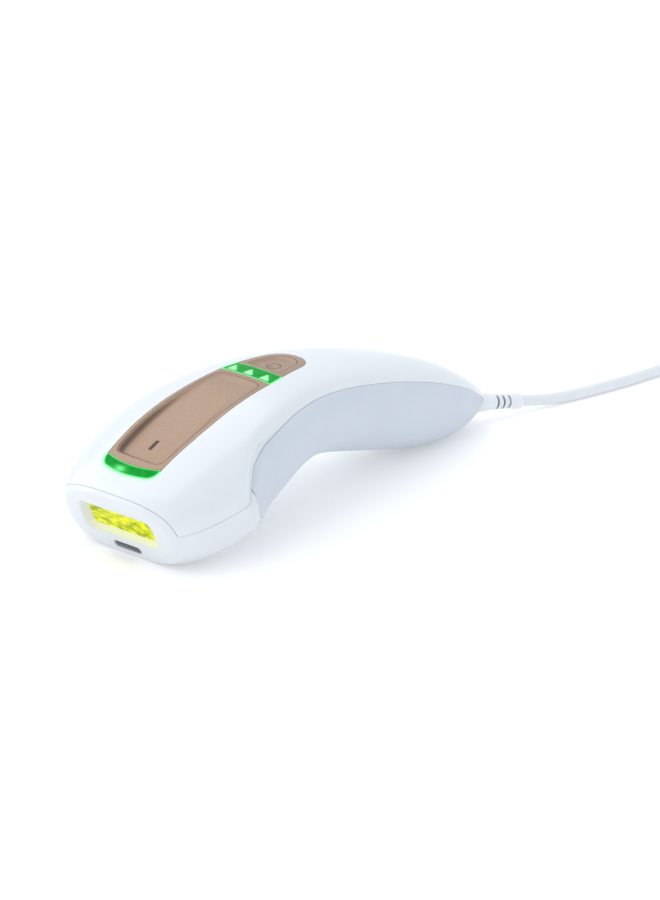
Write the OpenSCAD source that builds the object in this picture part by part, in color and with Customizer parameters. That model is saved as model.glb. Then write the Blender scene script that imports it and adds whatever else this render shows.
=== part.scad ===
// Corded IPL hair remover: arched hand piece, control panel, lamp house, cord and plug-in supply.
// Origin: centre of the hand piece's footprint on the table. +Z up, treatment window towards -Y,
// cord towards +Y, X across the width.

/* [Hand piece] */
// Overall length of the hand piece
body_length = 182; // [178:1:186]
// Width of the head at its widest
head_width = 71; // [70:0.5:73]
// Height of the arch above the table
body_height = 49.5; // [49:0.5:51]
// Wall thickness of the covers
wall = 2; // [1.8:0.1:2.2]

/* [Treatment window] */
// Width of the filter glass that light comes through
window_w = 30; // [28:0.5:31]
// Height of the filter glass that light comes through
window_h = 9.4; // [9:0.1:9.8]
// Diameter of the xenon flash tube
tube_d = 6; // [5:0.5:7]

/* [Control panel] */
// Clearance around the moving buttons
button_gap = 0.35; // [0.3:0.05:0.45]
// Travel of the flash button
flash_travel = 0.6; // [0.4:0.1:0.7]
// Travel of the power button
power_travel = 0.5; // [0.3:0.1:0.5]

/* [Fan] */
// Side of the square fan housing
fan_size = 25; // [24:0.5:25]
// Number of fan blades
fan_blades = 7; // [5:1:9]

/* [Cord] */
// Diameter of the cord
cord_d = 4; // [3.8:0.1:4.2]
// Mid-turn diameter of the coil of spare cord
coil_d = 48; // [46:1:50]

/* [Hidden] */
$fn = 48;

white = "white";
satin = "lavender";
bronze = "rosybrown";
green = "limegreen";
board_green = "darkgreen";
metal = "silver";

// ---- Outline of the hand piece ----
// Rings along the arch: top y and z, bottom y and z, half width, widest height, squareness
rings = [
  [-91.5, 22.5, -81, 0, 24, 0, 3.2],
  [-88, 27.5, -75, 0, 30, -0.2, 3.1],
  [-76.5, 35.5, -62.5, 2, 34, -0.3, 3],
  [-55.5, 44, -47.5, 6.5, 36.8, -0.3, 2.8],
  [-31.5, 49, -29.5, 16, 34.5, -0.2, 2.6],
  [-6, 50, -10, 18.3, 28, 0, 2.4],
  [20, 46, 15, 11.3, 23.5, 0.1, 2.4],
  [46, 39, 38.7, 4.6, 21, 0.2, 2.35],
  [68.5, 29.7, 63, -1.3, 17.5, 0.2, 2.3],
  [83.5, 20, 81, 1.5, 12.5, 0.1, 2.3],
  [91.5, 14, 87, 4, 8, 0, 2.2]
];
last_ring = len(rings) - 1;

// The covers part along this line: spine position, angle above the widest point
seam_line = [
  [0, 8], [2.6, 5], [2.75, 14], [3, 24], [3.45, 30], [4.15, 34],
  [4.7, 34], [5.9, 30], [7.4, 27], [8.5, 25], [9.5, 16], [10, 10]
];
bezel_end = 0.42;    // spine position where the treatment face meets the upper shell
head_end = 2.72;     // spine position where the head's lower cover meets the grip
seam_step = 0.015;   // half of the seam between them, along the spine
waist = 0.12;        // how far the grip is drawn in below the seam, as a share of the width

scale_x = head_width / 71;
scale_y = body_length / 182;
scale_z = body_height / 49.5;

function smooth(x) = let (t = max(0, min(1, x))) t * t * (3 - 2 * t);
function signed_pow(x, e) = sign(x) * pow(abs(x), e);

// Uniform cubic B-spline through the rings
function ring_at(u) =
  let (
    i = min(floor(u), last_ring - 1),
    t = u - i,
    before = i > 0 ? rings[i - 1] : 2 * rings[0] - rings[1],
    after = i < last_ring - 1 ? rings[i + 2] : 2 * rings[last_ring] - rings[last_ring - 1]
  )
  (pow(1 - t, 3) * before + (3 * pow(t, 3) - 6 * t * t + 4) * rings[i]
    + (3 * t + 3 * t * t - 3 * pow(t, 3) + 1) * rings[i + 1] + pow(t, 3) * after) / 6;

function seam(u) = lookup(u, seam_line);

// Share of the width taken off the grip behind the head, fading out towards the tail
function drawn_in(u, angle) =
  let (
    along = smooth((u - 2.5) / 0.9) * (1 - smooth((u - 4.2) / 3)),
    above = (angle > 90 ? 180 - angle : angle) - seam(max(u, 2.75))
  )
  waist * along * (1 - smooth(above / 25));

// Point on the hand piece: spine position, angle (0 = +X side, 90 = top), depth under the skin
function skin(u, angle, depth = 0) =
  let (
    s = ring_at(u),
    top = [s[0], s[1]],
    bottom = [s[2], s[3]],
    half = norm(top - bottom) / 2,
    up = (top - bottom) / (2 * half),
    rise = sin(angle),
    reach = (rise > 0 ? 1 - s[5] : 1 + s[5]) * half - depth,
    v = s[5] * half + reach * signed_pow(rise, 2 / s[6]),
    x = (s[4] - depth) * signed_pow(cos(angle), 2 / s[6]) * (1 - drawn_in(u, angle)),
    centre = (top + bottom) / 2
  )
  [x * scale_x, (centre[0] + v * up[0]) * scale_y, (centre[1] + v * up[1]) * scale_z];

// Closed wall between two depths under the skin. start(u) and end(u) give its angles.
module skin_wall(u0, u1, start, end, outer, inner, along, across) {
  rows = along + 1;
  cols = across + 1;
  layer = rows * cols;
  points = [
    for (depth = [outer, inner], i = [0:along], j = [0:across])
      let (u = u0 + (u1 - u0) * i / along)
      skin(u, start(u) + (end(u) - start(u)) * j / across, depth)
  ];
  function at(k, i, j) = k * layer + i * cols + j;
  function quad(a, b, c, d) = [[a, c, b], [a, d, c]];
  faces = concat(
    [for (i = [0:along - 1], j = [0:across - 1])
      each quad(at(0, i, j), at(0, i + 1, j), at(0, i + 1, j + 1), at(0, i, j + 1))],
    [for (i = [0:along - 1], j = [0:across - 1])
      each quad(at(1, i, j), at(1, i, j + 1), at(1, i + 1, j + 1), at(1, i + 1, j))],
    [for (i = [0:along - 1])
      each quad(at(0, i, 0), at(1, i, 0), at(1, i + 1, 0), at(0, i + 1, 0))],
    [for (i = [0:along - 1])
      each quad(at(0, i, across), at(0, i + 1, across), at(1, i + 1, across), at(1, i, across))],
    [for (j = [0:across - 1])
      each quad(at(0, 0, j), at(0, 0, j + 1), at(1, 0, j + 1), at(1, 0, j))],
    [for (j = [0:across - 1])
      each quad(at(0, along, j), at(1, along, j), at(1, along, j + 1), at(0, along, j + 1))]
  );
  polyhedron(points, faces, convexity = 6);
}

// Solid of the whole hand piece at a depth under the skin
module skin_solid(u0, u1, depth, along, around) {
  points = concat(
    [for (i = [0:along], j = [0:around - 1])
      skin(u0 + (u1 - u0) * i / along, 360 * j / around, depth)],
    [(skin(u0, 90, depth) + skin(u0, -90, depth)) / 2,
      (skin(u1, 90, depth) + skin(u1, -90, depth)) / 2]
  );
  tip = (along + 1) * around;
  function at(i, j) = i * around + j % around;
  faces = concat(
    [for (i = [0:along - 1], j = [0:around - 1])
      each [[at(i, j), at(i + 1, j + 1), at(i + 1, j)], [at(i, j), at(i, j + 1), at(i + 1, j + 1)]]],
    [for (j = [0:around - 1]) each [[tip, at(0, j + 1), at(0, j)],
      [tip + 1, at(along, j), at(along, j + 1)]]]
  );
  polyhedron(points, faces, convexity = 6);
}

// ---- Frames of reference ----
face_top = skin(0, 90);
face_bottom = skin(0, -90);
face_h = norm(face_top - face_bottom);
face_tilt = atan2(face_bottom[1] - face_top[1], face_top[2] - face_bottom[2]);
window_y = 13.4;     // centre of the window, up the treatment face from its lower edge
plate_t = 2.4;       // thickness of the treatment face

// x across, y up the treatment face, z out of it; origin on its lower edge
module on_face() translate(face_bottom) rotate([90 + face_tilt, 0, 0]) children();

// The same, centred on the window, z = 0 on the treatment face
module on_window(depth = 0) on_face() translate([0, window_y, -depth]) children();

panel_tilt = 11;
panel_origin = [0, -51.9 * scale_y, 42.3 * scale_z];

// x across, y along the control panel towards the tail, z out of it
module on_panel() translate(panel_origin) rotate([panel_tilt, 0, 0]) children();

// ---- Plans of the control panel, seen square to it ----
lens_front = -33.8;
lens_w = 24.8;
lens_corner = 4;
lens_bow = 0.9;      // the front edge's middle stands this far ahead of its ends
lens_back = -28.2;
button_back = 26.2;
band_front = 28.4;
band_back = 35.4;
panel_back = 54;
rim = 2;             // bronze rim beside the flash button
rim_front = 1.6;     // and between it and the ready light
rim_power = 3;       // and round the power button
button_corner = 4;

module panel_plan() hull() {
  for (side = [-1, 1])
    translate([side * (lens_w / 2 - lens_corner), lens_front + lens_bow + lens_corner])
      circle(r = lens_corner);
  intersection() {
    translate([lens_corner - lens_w / 2, lens_front]) square([lens_w - 2 * lens_corner, 10]);
    translate([0, lens_front + 40]) circle(r = 40);
  }
  translate([0, -8]) square([26.4, 10], center = true);
  translate([0, band_front]) square([22.6, 4], center = true);
  translate([0, panel_back - 9]) scale([1, 1.02]) circle(r = 8.8);
}

module strip(from, to) translate([-20, from]) square([40, to - from]);

module lens_plan() intersection() {
  panel_plan();
  difference() {
    strip(lens_front - 5, lens_back);
    translate([0, lens_back + 38]) circle(r = 39.6);
  }
}

module band_plan() intersection() {
  panel_plan();
  strip(band_front, band_back);
}

module flash_plan() offset(button_corner) offset(-button_corner) intersection() {
  offset(-rim) panel_plan();
  strip(lens_back + rim_front, button_back);
}

module power_plan() intersection() {
  offset(-rim_power) panel_plan();
  strip(band_back + 1.4, panel_back);
}

marker_x = [-7.4, 0, 7.4];
marker_y = 31.2;
marker_outline = [[-1.7, -1.6], [1.7, -1.6], [-1.2, 1.6]];
module marker_plan(grow = 0) for (x = marker_x) translate([x, marker_y])
  offset(grow) polygon(marker_outline);

// Layer of the hand piece under the control panel
module panel_layer(outer, inner) skin_wall(
  0.7, 5.8, function (u) 50, function (u) 130, outer, inner, 20, 12);

module through_panel(from = -30, to = 30) translate([0, 0, from]) linear_extrude(to - from)
  children();

// ---- Covers ----
upper_from = bezel_end + seam_step;
// Screw posts: x, y, and the height where the lower and the upper post meet
screw_posts = [[24, -58, 15], [-24, -58, 15], [20, -19, 32], [-20, -19, 32], [0, 70, 12]];
screw_d = 2.5;
screw_l = 9.5;
screw_head_d = 4;
screw_head_h = 1.9;
screw_set = 4.5;     // from the underside of the screw's head to the joint of the posts
post_r = 3;
post_gap = 0.2;      // between the upper and the lower screw posts
post_top = 45;

module lower_posts() for (p = screw_posts) translate([p[0], p[1], 0])
  cylinder(r = post_r, h = p[2]);

module upper_posts() for (p = screw_posts) translate([p[0], p[1], p[2] + post_gap])
  cylinder(r = post_r, h = post_top - p[2]);

// Blind bores that the screws cut their thread in
module screw_bores() for (p = screw_posts) translate([p[0], p[1], p[2] - 2])
  cylinder(d = screw_d + 0.1, h = screw_l - screw_set + 4);

// A clearance bore for each thread, and a well for its head that opens underneath
module screw_wells() for (p = screw_posts) translate([p[0], p[1], -1]) {
  cylinder(d = screw_head_d + 0.4, h = p[2] + 1 - screw_set + screw_head_h);
  cylinder(d = screw_d + 0.5, h = p[2] + 3);
}

module upper_shell() color(white) difference() {
  union() {
    skin_wall(
      upper_from, last_ring,
      function (u) seam(u) + 0.5,
      function (u) 179.5 - seam(u),
      0, wall, 38, 26);
    intersection() {
      upper_posts();
      skin_solid(upper_from + 0.1, last_ring - 0.2, wall * 0.6, 18, 24);
    }
  }
  screw_bores();
  on_panel() through_panel(-12) offset(0.15) panel_plan();
}

// Outline of the treatment face, drawn in from the covers' outer edge
face_up = (face_top - face_bottom) / face_h;
module face_plan(inset) polygon([
  for (angle = [0:6:354])
    let (p = skin(0, angle, inset))
    [p[0], (p - face_bottom) * face_up]
]);

module window_plan(w, h, r) offset(r) square([w - 2 * r, h - 2 * r], center = true);

sensor_y = 3.4;
sensor_w = 11.6;
sensor_h = 2.2;

module sensor_plan(grow) offset(grow) hull() for (side = [-1, 1])
  translate([side * (sensor_w - sensor_h) / 2, sensor_y]) circle(r = sensor_h / 2, $fn = 24);

module head_base() color(white) difference() {
  union() {
    difference() {
      skin_solid(0, head_end - seam_step, 0, 14, 42);
      skin_solid(0.05, head_end + 0.1, wall, 14, 42);
    }
    on_face() translate([0, 0, -plate_t]) linear_extrude(plate_t - 0.1) face_plan(wall * 0.4);
    intersection() {
      lower_posts();
      skin_solid(0.1, head_end - 0.1, wall * 0.6, 10, 24);
    }
  }
  skin_wall(
    bezel_end, head_end + 0.3, function (u) seam(u), function (u) 180 - seam(u),
    -4, wall + 6, 10, 20);
  hull() {
    on_window(plate_t + 1) linear_extrude(0.1) window_plan(window_w, window_h, 1.5);
    on_window(-1) linear_extrude(0.1) window_plan(window_w + 3.6, window_h + 3.4, 3);
  }
  on_face() translate([0, 0, -plate_t - 1]) linear_extrude(plate_t + 2) sensor_plan(0.1);
  screw_wells();
}

vent_count = 6;
vent_pitch = 4.2;
module vents() for (i = [0:vent_count - 1]) translate([0, -26 + vent_pitch * i, 14])
  cube([18, 1.8, 14], center = true);

module grip_shell() color(satin) difference() {
  union() {
    skin_wall(
      head_end + seam_step, last_ring, function (u) -180 - seam(u), function (u) seam(u),
      0, wall, 30, 26);
    intersection() {
      union() {
        lower_posts();
        board_posts();
      }
      skin_solid(head_end + 0.1, last_ring - 0.2, wall * 0.6, 16, 24);
    }
  }
  screw_wells();
  vents();
}

// ---- Control panel ----
frame_t = 2.8;
lens_t = 1.6;
dish = 1;            // depth of the dished buttons under the frame's surface

module button_openings() {
  offset(button_gap) flash_plan();
  offset(button_gap) power_plan();
}

// The frame runs on under the two lenses, which sit in its pockets
module panel_frame() color(bronze) difference() {
  intersection() {
    panel_layer(0, frame_t);
    on_panel() through_panel() difference() {
      panel_plan();
      button_openings();
      offset(-1.6) lens_plan();
      marker_plan(0.1);
    }
  }
  intersection() {
    panel_layer(-2, lens_t + 0.05);
    on_panel() through_panel() {
      offset(0.1) lens_plan();
      offset(0.1) band_plan();
    }
  }
}

board_top = -7.6;    // top of the panel board, from the panel's origin
flash_y = -2;        // the flash button's stem and switch
power_y = 43;        // the power button's stem and switch
flash_switch_h = 2.4;
power_switch_h = 1.4;
plunger_r = 1.2;
plunger_out = 0.9;   // how far a plunger stands out of its switch
plunger_in = 0.2;    // how far it reaches into it
stem_gap = 0.02;

module button_stem(y, r, switch_h, to) {
  from = board_top + switch_h + plunger_out + stem_gap;
  translate([0, y, from]) cylinder(r = r, h = to - from);
}

module flash_button() color(bronze) union() {
  intersection() {
    panel_layer(dish, dish + 2.2);
    on_panel() through_panel() flash_plan();
  }
  on_panel() button_stem(flash_y, 2.2, flash_switch_h, 0);
}

module power_button() color(bronze) union() {
  intersection() {
    panel_layer(dish * 0.6, dish * 0.6 + 1.8);
    on_panel() through_panel() power_plan();
  }
  on_panel() button_stem(power_y, 1.6, power_switch_h, -3.4);
}

module ready_lens() color(green) intersection() {
  panel_layer(0, lens_t);
  on_panel() through_panel() lens_plan();
}

module level_lens() color(green) intersection() {
  panel_layer(0, lens_t);
  on_panel() through_panel() difference() {
    band_plan();
    marker_plan(0.1);
  }
}

guide_bottom = -6.2;
module level_guides() color("palegreen") intersection() {
  panel_layer(-0.2, 9);
  on_panel() through_panel(guide_bottom, 10) marker_plan();
}

board_t = 1.6;
module panel_board() color(board_green) on_panel() translate([-9, -26, board_top - board_t])
  cube([18, 76, board_t]);

led_h = 0.8;
module indicator_leds() color("ivory") on_panel() {
  for (x = marker_x) translate([x, marker_y, board_top + led_h / 2])
    cube([2, 3, led_h], center = true);
  for (x = [-5, 5]) translate([x, -24, board_top + led_h / 2])
    cube([3, 2, led_h], center = true);
}

module switch_case(y, h, travel) on_panel() translate([0, y, board_top]) difference() {
  translate([-3, -3, 0]) cube([6, 6, h]);
  translate([0, 0, h - plunger_in - travel - 0.1]) cylinder(r = plunger_r + 0.1, h = h);
}

module plunger(y, switch_h) on_panel()
  translate([0, y, board_top + switch_h - plunger_in])
    cylinder(r = plunger_r, h = plunger_in + plunger_out);

module flash_switch() color("dimgray") switch_case(flash_y, flash_switch_h, flash_travel);
module power_switch() color("dimgray") switch_case(power_y, power_switch_h, power_travel);
module flash_plunger() color("black") plunger(flash_y, flash_switch_h);
module power_plunger() color("black") plunger(power_y, power_switch_h);

// ---- Lamp house, square to the treatment face ----
filter_depth = 2.6;
filter_t = 2;
frame_w = window_w + 6;
frame_h = window_h + 5;

module window_frame() color("gray") on_window(9) difference() {
  translate([0, 0, 0]) linear_extrude(9 - plate_t - 0.1) window_plan(frame_w, frame_h, 2);
  translate([0, 0, -1]) linear_extrude(12) window_plan(window_w - 1, window_h - 1, 1.5);
  translate([0, 0, 9 - filter_depth - filter_t - 0.1]) linear_extrude(filter_t + 2)
    window_plan(window_w + 2.2, window_h + 2.2, 1.5);
}

module window_filter() color("yellow") on_window(filter_depth + filter_t)
  linear_extrude(filter_t) window_plan(window_w + 2, window_h + 2, 1.5);

module skin_sensor() color("midnightblue") on_face() translate([0, 0, -2.8])
  linear_extrude(2.6) sensor_plan(0);

lamp_depth = 15;
tube_l = 40;
module flash_lamp() color("azure") on_window(lamp_depth) rotate([0, 90, 0])
  cylinder(d = tube_d, h = tube_l, center = true);

terminal_l = 3;
module lamp_terminals() color(metal) on_window(lamp_depth) for (side = [-1, 1])
  translate([side * (tube_l + terminal_l) / 2, 0, 0]) rotate([0, 90, 0]) {
    cylinder(d = tube_d, h = terminal_l, center = true);
    translate([0, 0, side * 2.5]) cylinder(d = 1.4, h = 3, center = true);
  }

holder_t = 3;
module lamp_holders() color("linen") on_window(lamp_depth) for (side = [-1, 1])
  translate([side * 17.5, 0, 0]) difference() {
    cube([holder_t, 14, 12], center = true);
    rotate([0, 90, 0]) cylinder(d = tube_d + 0.06, h = holder_t + 1, center = true);
  }

reflector_l = 31.8;
module reflector() color("gainsboro") on_window(9.1) rotate([0, -90, 0])
  translate([0, 0, -reflector_l / 2]) linear_extrude(reflector_l) difference() {
    polygon([[0, -7], [0, 7], [-13, 7], [-13, -7]]);
    translate([-6, 0]) circle(r = 5);
    translate([-6, -5]) square([7, 10]);
  }

fin_count = 9;
sink_depth = 22.2;
sink_l = 34;
fin_l = 12;
module heat_sink() color(metal) on_window(sink_depth) translate([0, -2, 0]) {
  translate([0, 0, -1.2]) cube([sink_l, fin_l, 2.4], center = true);
  for (i = [0:fin_count - 1]) translate([(i / (fin_count - 1) - 0.5) * (sink_l - 2), 0, -6])
    cube([1, fin_l, 9], center = true);
}

// ---- Fan, above the vents behind the head ----
fan_pos = [0, -31, 20.5];
fan_t = 7;
hub_d = 10;
axle_d = 2;
fan_ring = 2;        // thickness of the bars that carry the rotor's axle

module fan_frame() color("dimgray") translate(fan_pos) difference() {
  translate([-fan_size / 2, -fan_size / 2, 0]) cube([fan_size, fan_size, fan_t]);
  translate([0, 0, fan_ring]) cylinder(d = fan_size - 2, h = fan_t);
  difference() {
    translate([0, 0, -1]) cylinder(d = fan_size - 4, h = fan_ring + 2);
    translate([0, 0, -1]) cylinder(d = hub_d + 1, h = fan_ring + 2);
    for (turn = [45, 135]) rotate(turn) cube([fan_size + 4, 2, 3 * fan_ring], center = true);
  }
  translate([0, 0, -1]) cylinder(d = axle_d + 0.06, h = fan_ring + 2);
}

module fan_rotor() color("black") translate(fan_pos) {
  translate([0, 0, fan_ring + 0.4]) cylinder(d = hub_d, h = fan_t - fan_ring - 0.8);
  translate([0, 0, 0.2]) cylinder(d = axle_d, h = fan_ring + 1);
  for (i = [0:fan_blades - 1]) rotate(360 / fan_blades * i)
    translate([hub_d / 2 - 0.5, 0, (fan_t + fan_ring) / 2]) rotate([40, 0, 0])
      translate([0, -0.4, -2.2]) cube([fan_size / 2 - hub_d / 2 - 1.5, 0.8, 4.4]);
}

// ---- Inside the handle ----
tray_t = 1.4;
cheek_x = 19.1;      // inside of the cheeks that hold the lamp holders
module chassis() color("whitesmoke") {
  on_panel() translate([0, 0, board_top - board_t - tray_t]) {
    translate([-10, -26, 0]) cube([20, 76, tray_t]);
    translate([-cheek_x - 2 * tray_t, -20, 0]) cube([2 * cheek_x + 4 * tray_t, 8, tray_t]);
  }
  for (side = [-1, 1]) intersection() {
    on_window(30) translate([side * (cheek_x + tray_t / 2) - tray_t / 2, -7, 0])
      cube([tray_t, 40, 20]);
    on_panel() translate([-30, -19, board_top - board_t - tray_t / 2 - 40]) cube([60, 6, 40]);
  }
}

handle_tilt = -13;
module in_handle() translate([0, 32, 25.5]) rotate([handle_tilt, 0, 0]) children();

board_l = 66;
board_w = 28;
module main_board() color(board_green) in_handle() translate([0, 0, -7])
  cube([board_w, board_l, board_t], center = true);

// Posts that the main board stands on
module board_posts() in_handle() for (x = [-9, 9]) for (y = [-24, 22])
  translate([x, y, -40]) cylinder(r = 2, h = 40 - 7 - board_t / 2);

cap_d = 16;
module flash_capacitor() color("steelblue") in_handle() translate([0, -24, -6.2 + cap_d / 2])
  rotate([-90, 0, 0]) {
    cylinder(d = cap_d, h = 32);
    translate([0, 0, 32]) cylinder(d = cap_d - 1.6, h = 0.8);
  }

module transformer() color("goldenrod") in_handle() translate([0, 21, -6.2 + 5.5]) {
  cube([15, 9, 11], center = true);
  for (side = [-1, 1]) translate([0, side * 6, 0]) cube([17, 3, 11], center = true);
}

module case_screws() color(metal) for (p = screw_posts)
  translate([p[0], p[1], p[2] - screw_set]) {
    cylinder(d = screw_d, h = screw_l);
    difference() {
      cylinder(d = screw_head_d, h = screw_head_h);
      translate([0, 0, -0.1]) cylinder(d = 1.8, h = 1.2, $fn = 6);
    }
  }

// ---- Cord ----
relief_root = [1.5, 86, 8];
relief_end = [8.5, 108.5, 4.2];
relief_axis = relief_end - relief_root;
relief_l = norm(relief_axis);
relief_yaw = -atan2(relief_axis[0], relief_axis[1]);
relief_pitch = atan2(relief_axis[2], norm([relief_axis[0], relief_axis[1]]));

module strain_relief() color(white) translate(relief_root) rotate([0, 0, relief_yaw])
  rotate([relief_pitch - 90, 0, 0]) difference() {
    union() {
      cylinder(r = 3.9, h = 3);
      translate([0, 0, 2.9]) cylinder(r1 = 3.8, r2 = 3, h = 7.1);
      translate([0, 0, 9.9]) cylinder(r1 = 3, r2 = 2.7, h = relief_l - 9.9);
    }
    for (i = [0:2]) for (side = [-1, 1]) translate([side * 3.6, 0, 11.4 + 3 * i])
      cube([3, 7, 1.1], center = true);
  }

// Route of the cord along the table, from the strain relief to the coil
cord_r = cord_d / 2;
coil_base = 0.6;     // the coil rests on the tie's band
cord_route = [
  relief_end, [11.6, 118.5, 2.7], [14.5, 129, cord_r], [17.4, 142, cord_r],
  [19.8, 156, cord_r], [21.4, 171, cord_r], [22.4, 187, cord_r], [23, 204, cord_r],
  [23.2, 221, cord_r], [22.9, 238, cord_r], [22.3, 254, cord_r + 0.4],
  [22, 268, cord_r + coil_base]
];

// The spare cord lies in a ring of two layers, six turns below and five above
lower_turns = 6;
upper_turns = 5;
layer_h = cord_d * sqrt(3) / 2;
coil_h = coil_base + cord_d + layer_h;
coil_centre = [22 - coil_d / 2 - (lower_turns - 1) * cord_r, 268, 0];

module coil_section(grow = 0) translate([coil_d / 2, 0]) offset(delta = grow) polygon([
  [-lower_turns * cord_r, coil_base], [lower_turns * cord_r, coil_base],
  [lower_turns * cord_r, coil_base + cord_r], [upper_turns * cord_r - 0.8, coil_h],
  [0.8 - upper_turns * cord_r, coil_h], [-lower_turns * cord_r, coil_base + cord_r]
]);

// From the top of the coil down to the plug-in supply
adapter_l = 58;
adapter_w = 38;
adapter_h = 26;
adapter_base_h = 17;
adapter_pos = [2, 326, 0];
adapter_entry = [2, 319.5, 8];
cord_tail_route = [
  [coil_centre[0] + coil_d / 2 + (upper_turns - 1) * cord_r, 268, coil_h - cord_r],
  [19.6, 279, 6.7], [17.6, 289, 6.4], [13, 298, 4.6], [7.6, 305.5, 4.6], [4, 312.5, 6.6],
  adapter_entry
];

function unit(v) = v / norm(v);

// Tube swept along a list of points: one ring per point, closed by flat ends
module tube(path, r, sides = 8) {
  n = len(path);
  points = [
    for (i = [0:n - 1])
      let (
        dir = unit(path[min(i + 1, n - 1)] - path[max(i - 1, 0)]),
        across = unit(cross([0, 0, 1], dir)),
        up = cross(dir, across)
      )
      for (j = [0:sides - 1])
        path[i] + r * (cos(360 * j / sides) * across + sin(360 * j / sides) * up)
  ];
  faces = concat(
    [[for (j = [0:sides - 1]) j]],
    [[for (j = [sides - 1:-1:0]) (n - 1) * sides + j]],
    [for (i = [0:n - 2], j = [0:sides - 1])
      let (a = i * sides + j, b = i * sides + (j + 1) % sides)
      each [[a, b + sides, b], [a, a + sides, b + sides]]]
  );
  polyhedron(points, faces);
}

module cord_lead() color(white) tube(cord_route, cord_r);

module cord_tail() color(white) tube(cord_tail_route, cord_r);

module cord_coil() color(white) translate(coil_centre) rotate_extrude($fn = 64) coil_section();

tie_t = coil_base;
tie_angle = 14;
module cord_tie() color("black") translate(coil_centre) rotate(180 - tie_angle / 2)
  rotate_extrude(angle = tie_angle, $fn = 96) difference() {
    intersection() {
      coil_section(tie_t);
      square([100, 100]);
    }
    coil_section();
  }

// ---- Plug-in supply, lying on its back ----
module adapter_block(z, h) translate([adapter_pos[0], adapter_pos[1] + adapter_l / 2, z])
  linear_extrude(h) offset(5) square([adapter_w - 10, adapter_l - 10], center = true);

module adapter_case() color(white) difference() {
  union() {
    adapter_block(0, adapter_base_h);
    translate(adapter_entry) rotate([-90, 0, 0]) cylinder(r1 = 2.6, r2 = 3.8, h = 7);
  }
  translate([0, 0, 2]) intersection() {
    adapter_block(0, adapter_base_h);
    translate([adapter_pos[0], adapter_pos[1] + adapter_l / 2, adapter_base_h / 2])
      cube([adapter_w - 4, adapter_l - 4, adapter_base_h], center = true);
  }
}

pin_d = 4;
pin_l = 19;
pin_pitch = 19;
pin_y = adapter_pos[1] + 34;
module adapter_cover() color(white) difference() {
  union() {
    adapter_block(adapter_base_h + 0.2, adapter_h - adapter_base_h - 0.2);
    translate([adapter_pos[0], pin_y, adapter_h - 0.1]) linear_extrude(3)
      offset(6) square([pin_pitch, 2], center = true);
  }
  for (side = [-1, 1]) translate([adapter_pos[0] + side * pin_pitch / 2, pin_y, 0])
    cylinder(d = pin_d, h = 60);
}

module adapter_pins() color(metal) for (side = [-1, 1])
  translate([adapter_pos[0] + side * pin_pitch / 2, pin_y, adapter_h - 8]) {
    cylinder(d = pin_d, h = pin_l + 10);
    translate([0, 0, pin_l + 10]) sphere(d = pin_d);
  }

upper_shell();
head_base();
grip_shell();
panel_frame();
flash_button();
power_button();
ready_lens();
level_lens();
level_guides();
window_filter();
window_frame();
skin_sensor();
flash_lamp();
lamp_terminals();
lamp_holders();
reflector();
heat_sink();
fan_frame();
fan_rotor();
chassis();
main_board();
flash_capacitor();
transformer();
panel_board();
indicator_leds();
flash_switch();
flash_plunger();
power_switch();
power_plunger();
case_screws();
strain_relief();
cord_lead();
cord_coil();
cord_tie();
cord_tail();
adapter_case();
adapter_cover();
adapter_pins();
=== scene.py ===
"""Corded IPL hair remover: the looks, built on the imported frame. Metres, +Z up, window towards -Y."""
import math

import bmesh
import bpy
import numpy as np
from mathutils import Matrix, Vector
from mathutils.geometry import delaunay_2d_cdt


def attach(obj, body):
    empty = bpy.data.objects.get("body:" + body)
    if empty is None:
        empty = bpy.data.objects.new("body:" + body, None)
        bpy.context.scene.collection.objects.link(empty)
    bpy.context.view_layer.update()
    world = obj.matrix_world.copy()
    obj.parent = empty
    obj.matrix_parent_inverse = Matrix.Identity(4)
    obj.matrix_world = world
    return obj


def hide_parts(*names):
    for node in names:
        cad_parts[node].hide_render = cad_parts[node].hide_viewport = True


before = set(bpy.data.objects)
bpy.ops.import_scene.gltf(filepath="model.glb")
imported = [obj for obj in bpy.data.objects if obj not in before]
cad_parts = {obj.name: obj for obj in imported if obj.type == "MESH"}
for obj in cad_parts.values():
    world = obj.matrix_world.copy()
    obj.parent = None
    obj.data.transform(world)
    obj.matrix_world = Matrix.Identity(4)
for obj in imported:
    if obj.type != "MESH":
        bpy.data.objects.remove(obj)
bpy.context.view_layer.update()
scene = bpy.context.scene
MM = 0.001

# -------- camera
AZ, EL = math.radians(42.94), math.radians(21.17)
BACK = Vector((math.sin(AZ) * math.cos(EL), -math.cos(AZ) * math.cos(EL), math.sin(EL)))
RIGHT = Vector((math.cos(AZ), math.sin(AZ), 0))
UP = Vector((-math.sin(AZ) * math.sin(EL), math.cos(AZ) * math.sin(EL), math.cos(EL)))
TARGET = Vector((0, -0.0013, 0.0276))
DISTANCE = 2.41
SENSOR_MM, LENS_MM = 36, 281.056
AIM_RIGHT, AIM_DOWN = 0.013171, 0.011833     # from the target to the middle of the picture


def make_camera():
    cam = bpy.data.objects.new("camera", bpy.data.cameras.new("camera"))
    scene.collection.objects.link(cam)
    cam.data.sensor_width = SENSOR_MM
    cam.data.lens = LENS_MM
    cam.data.clip_start, cam.data.clip_end = 0.05, 60
    place = TARGET + BACK * DISTANCE
    aim = TARGET + RIGHT * AIM_RIGHT - UP * AIM_DOWN
    cam.location = place
    cam.rotation_mode = "QUATERNION"
    cam.rotation_quaternion = (aim - place).to_track_quat("-Z", "Y")
    scene.camera = cam


make_camera()


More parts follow.
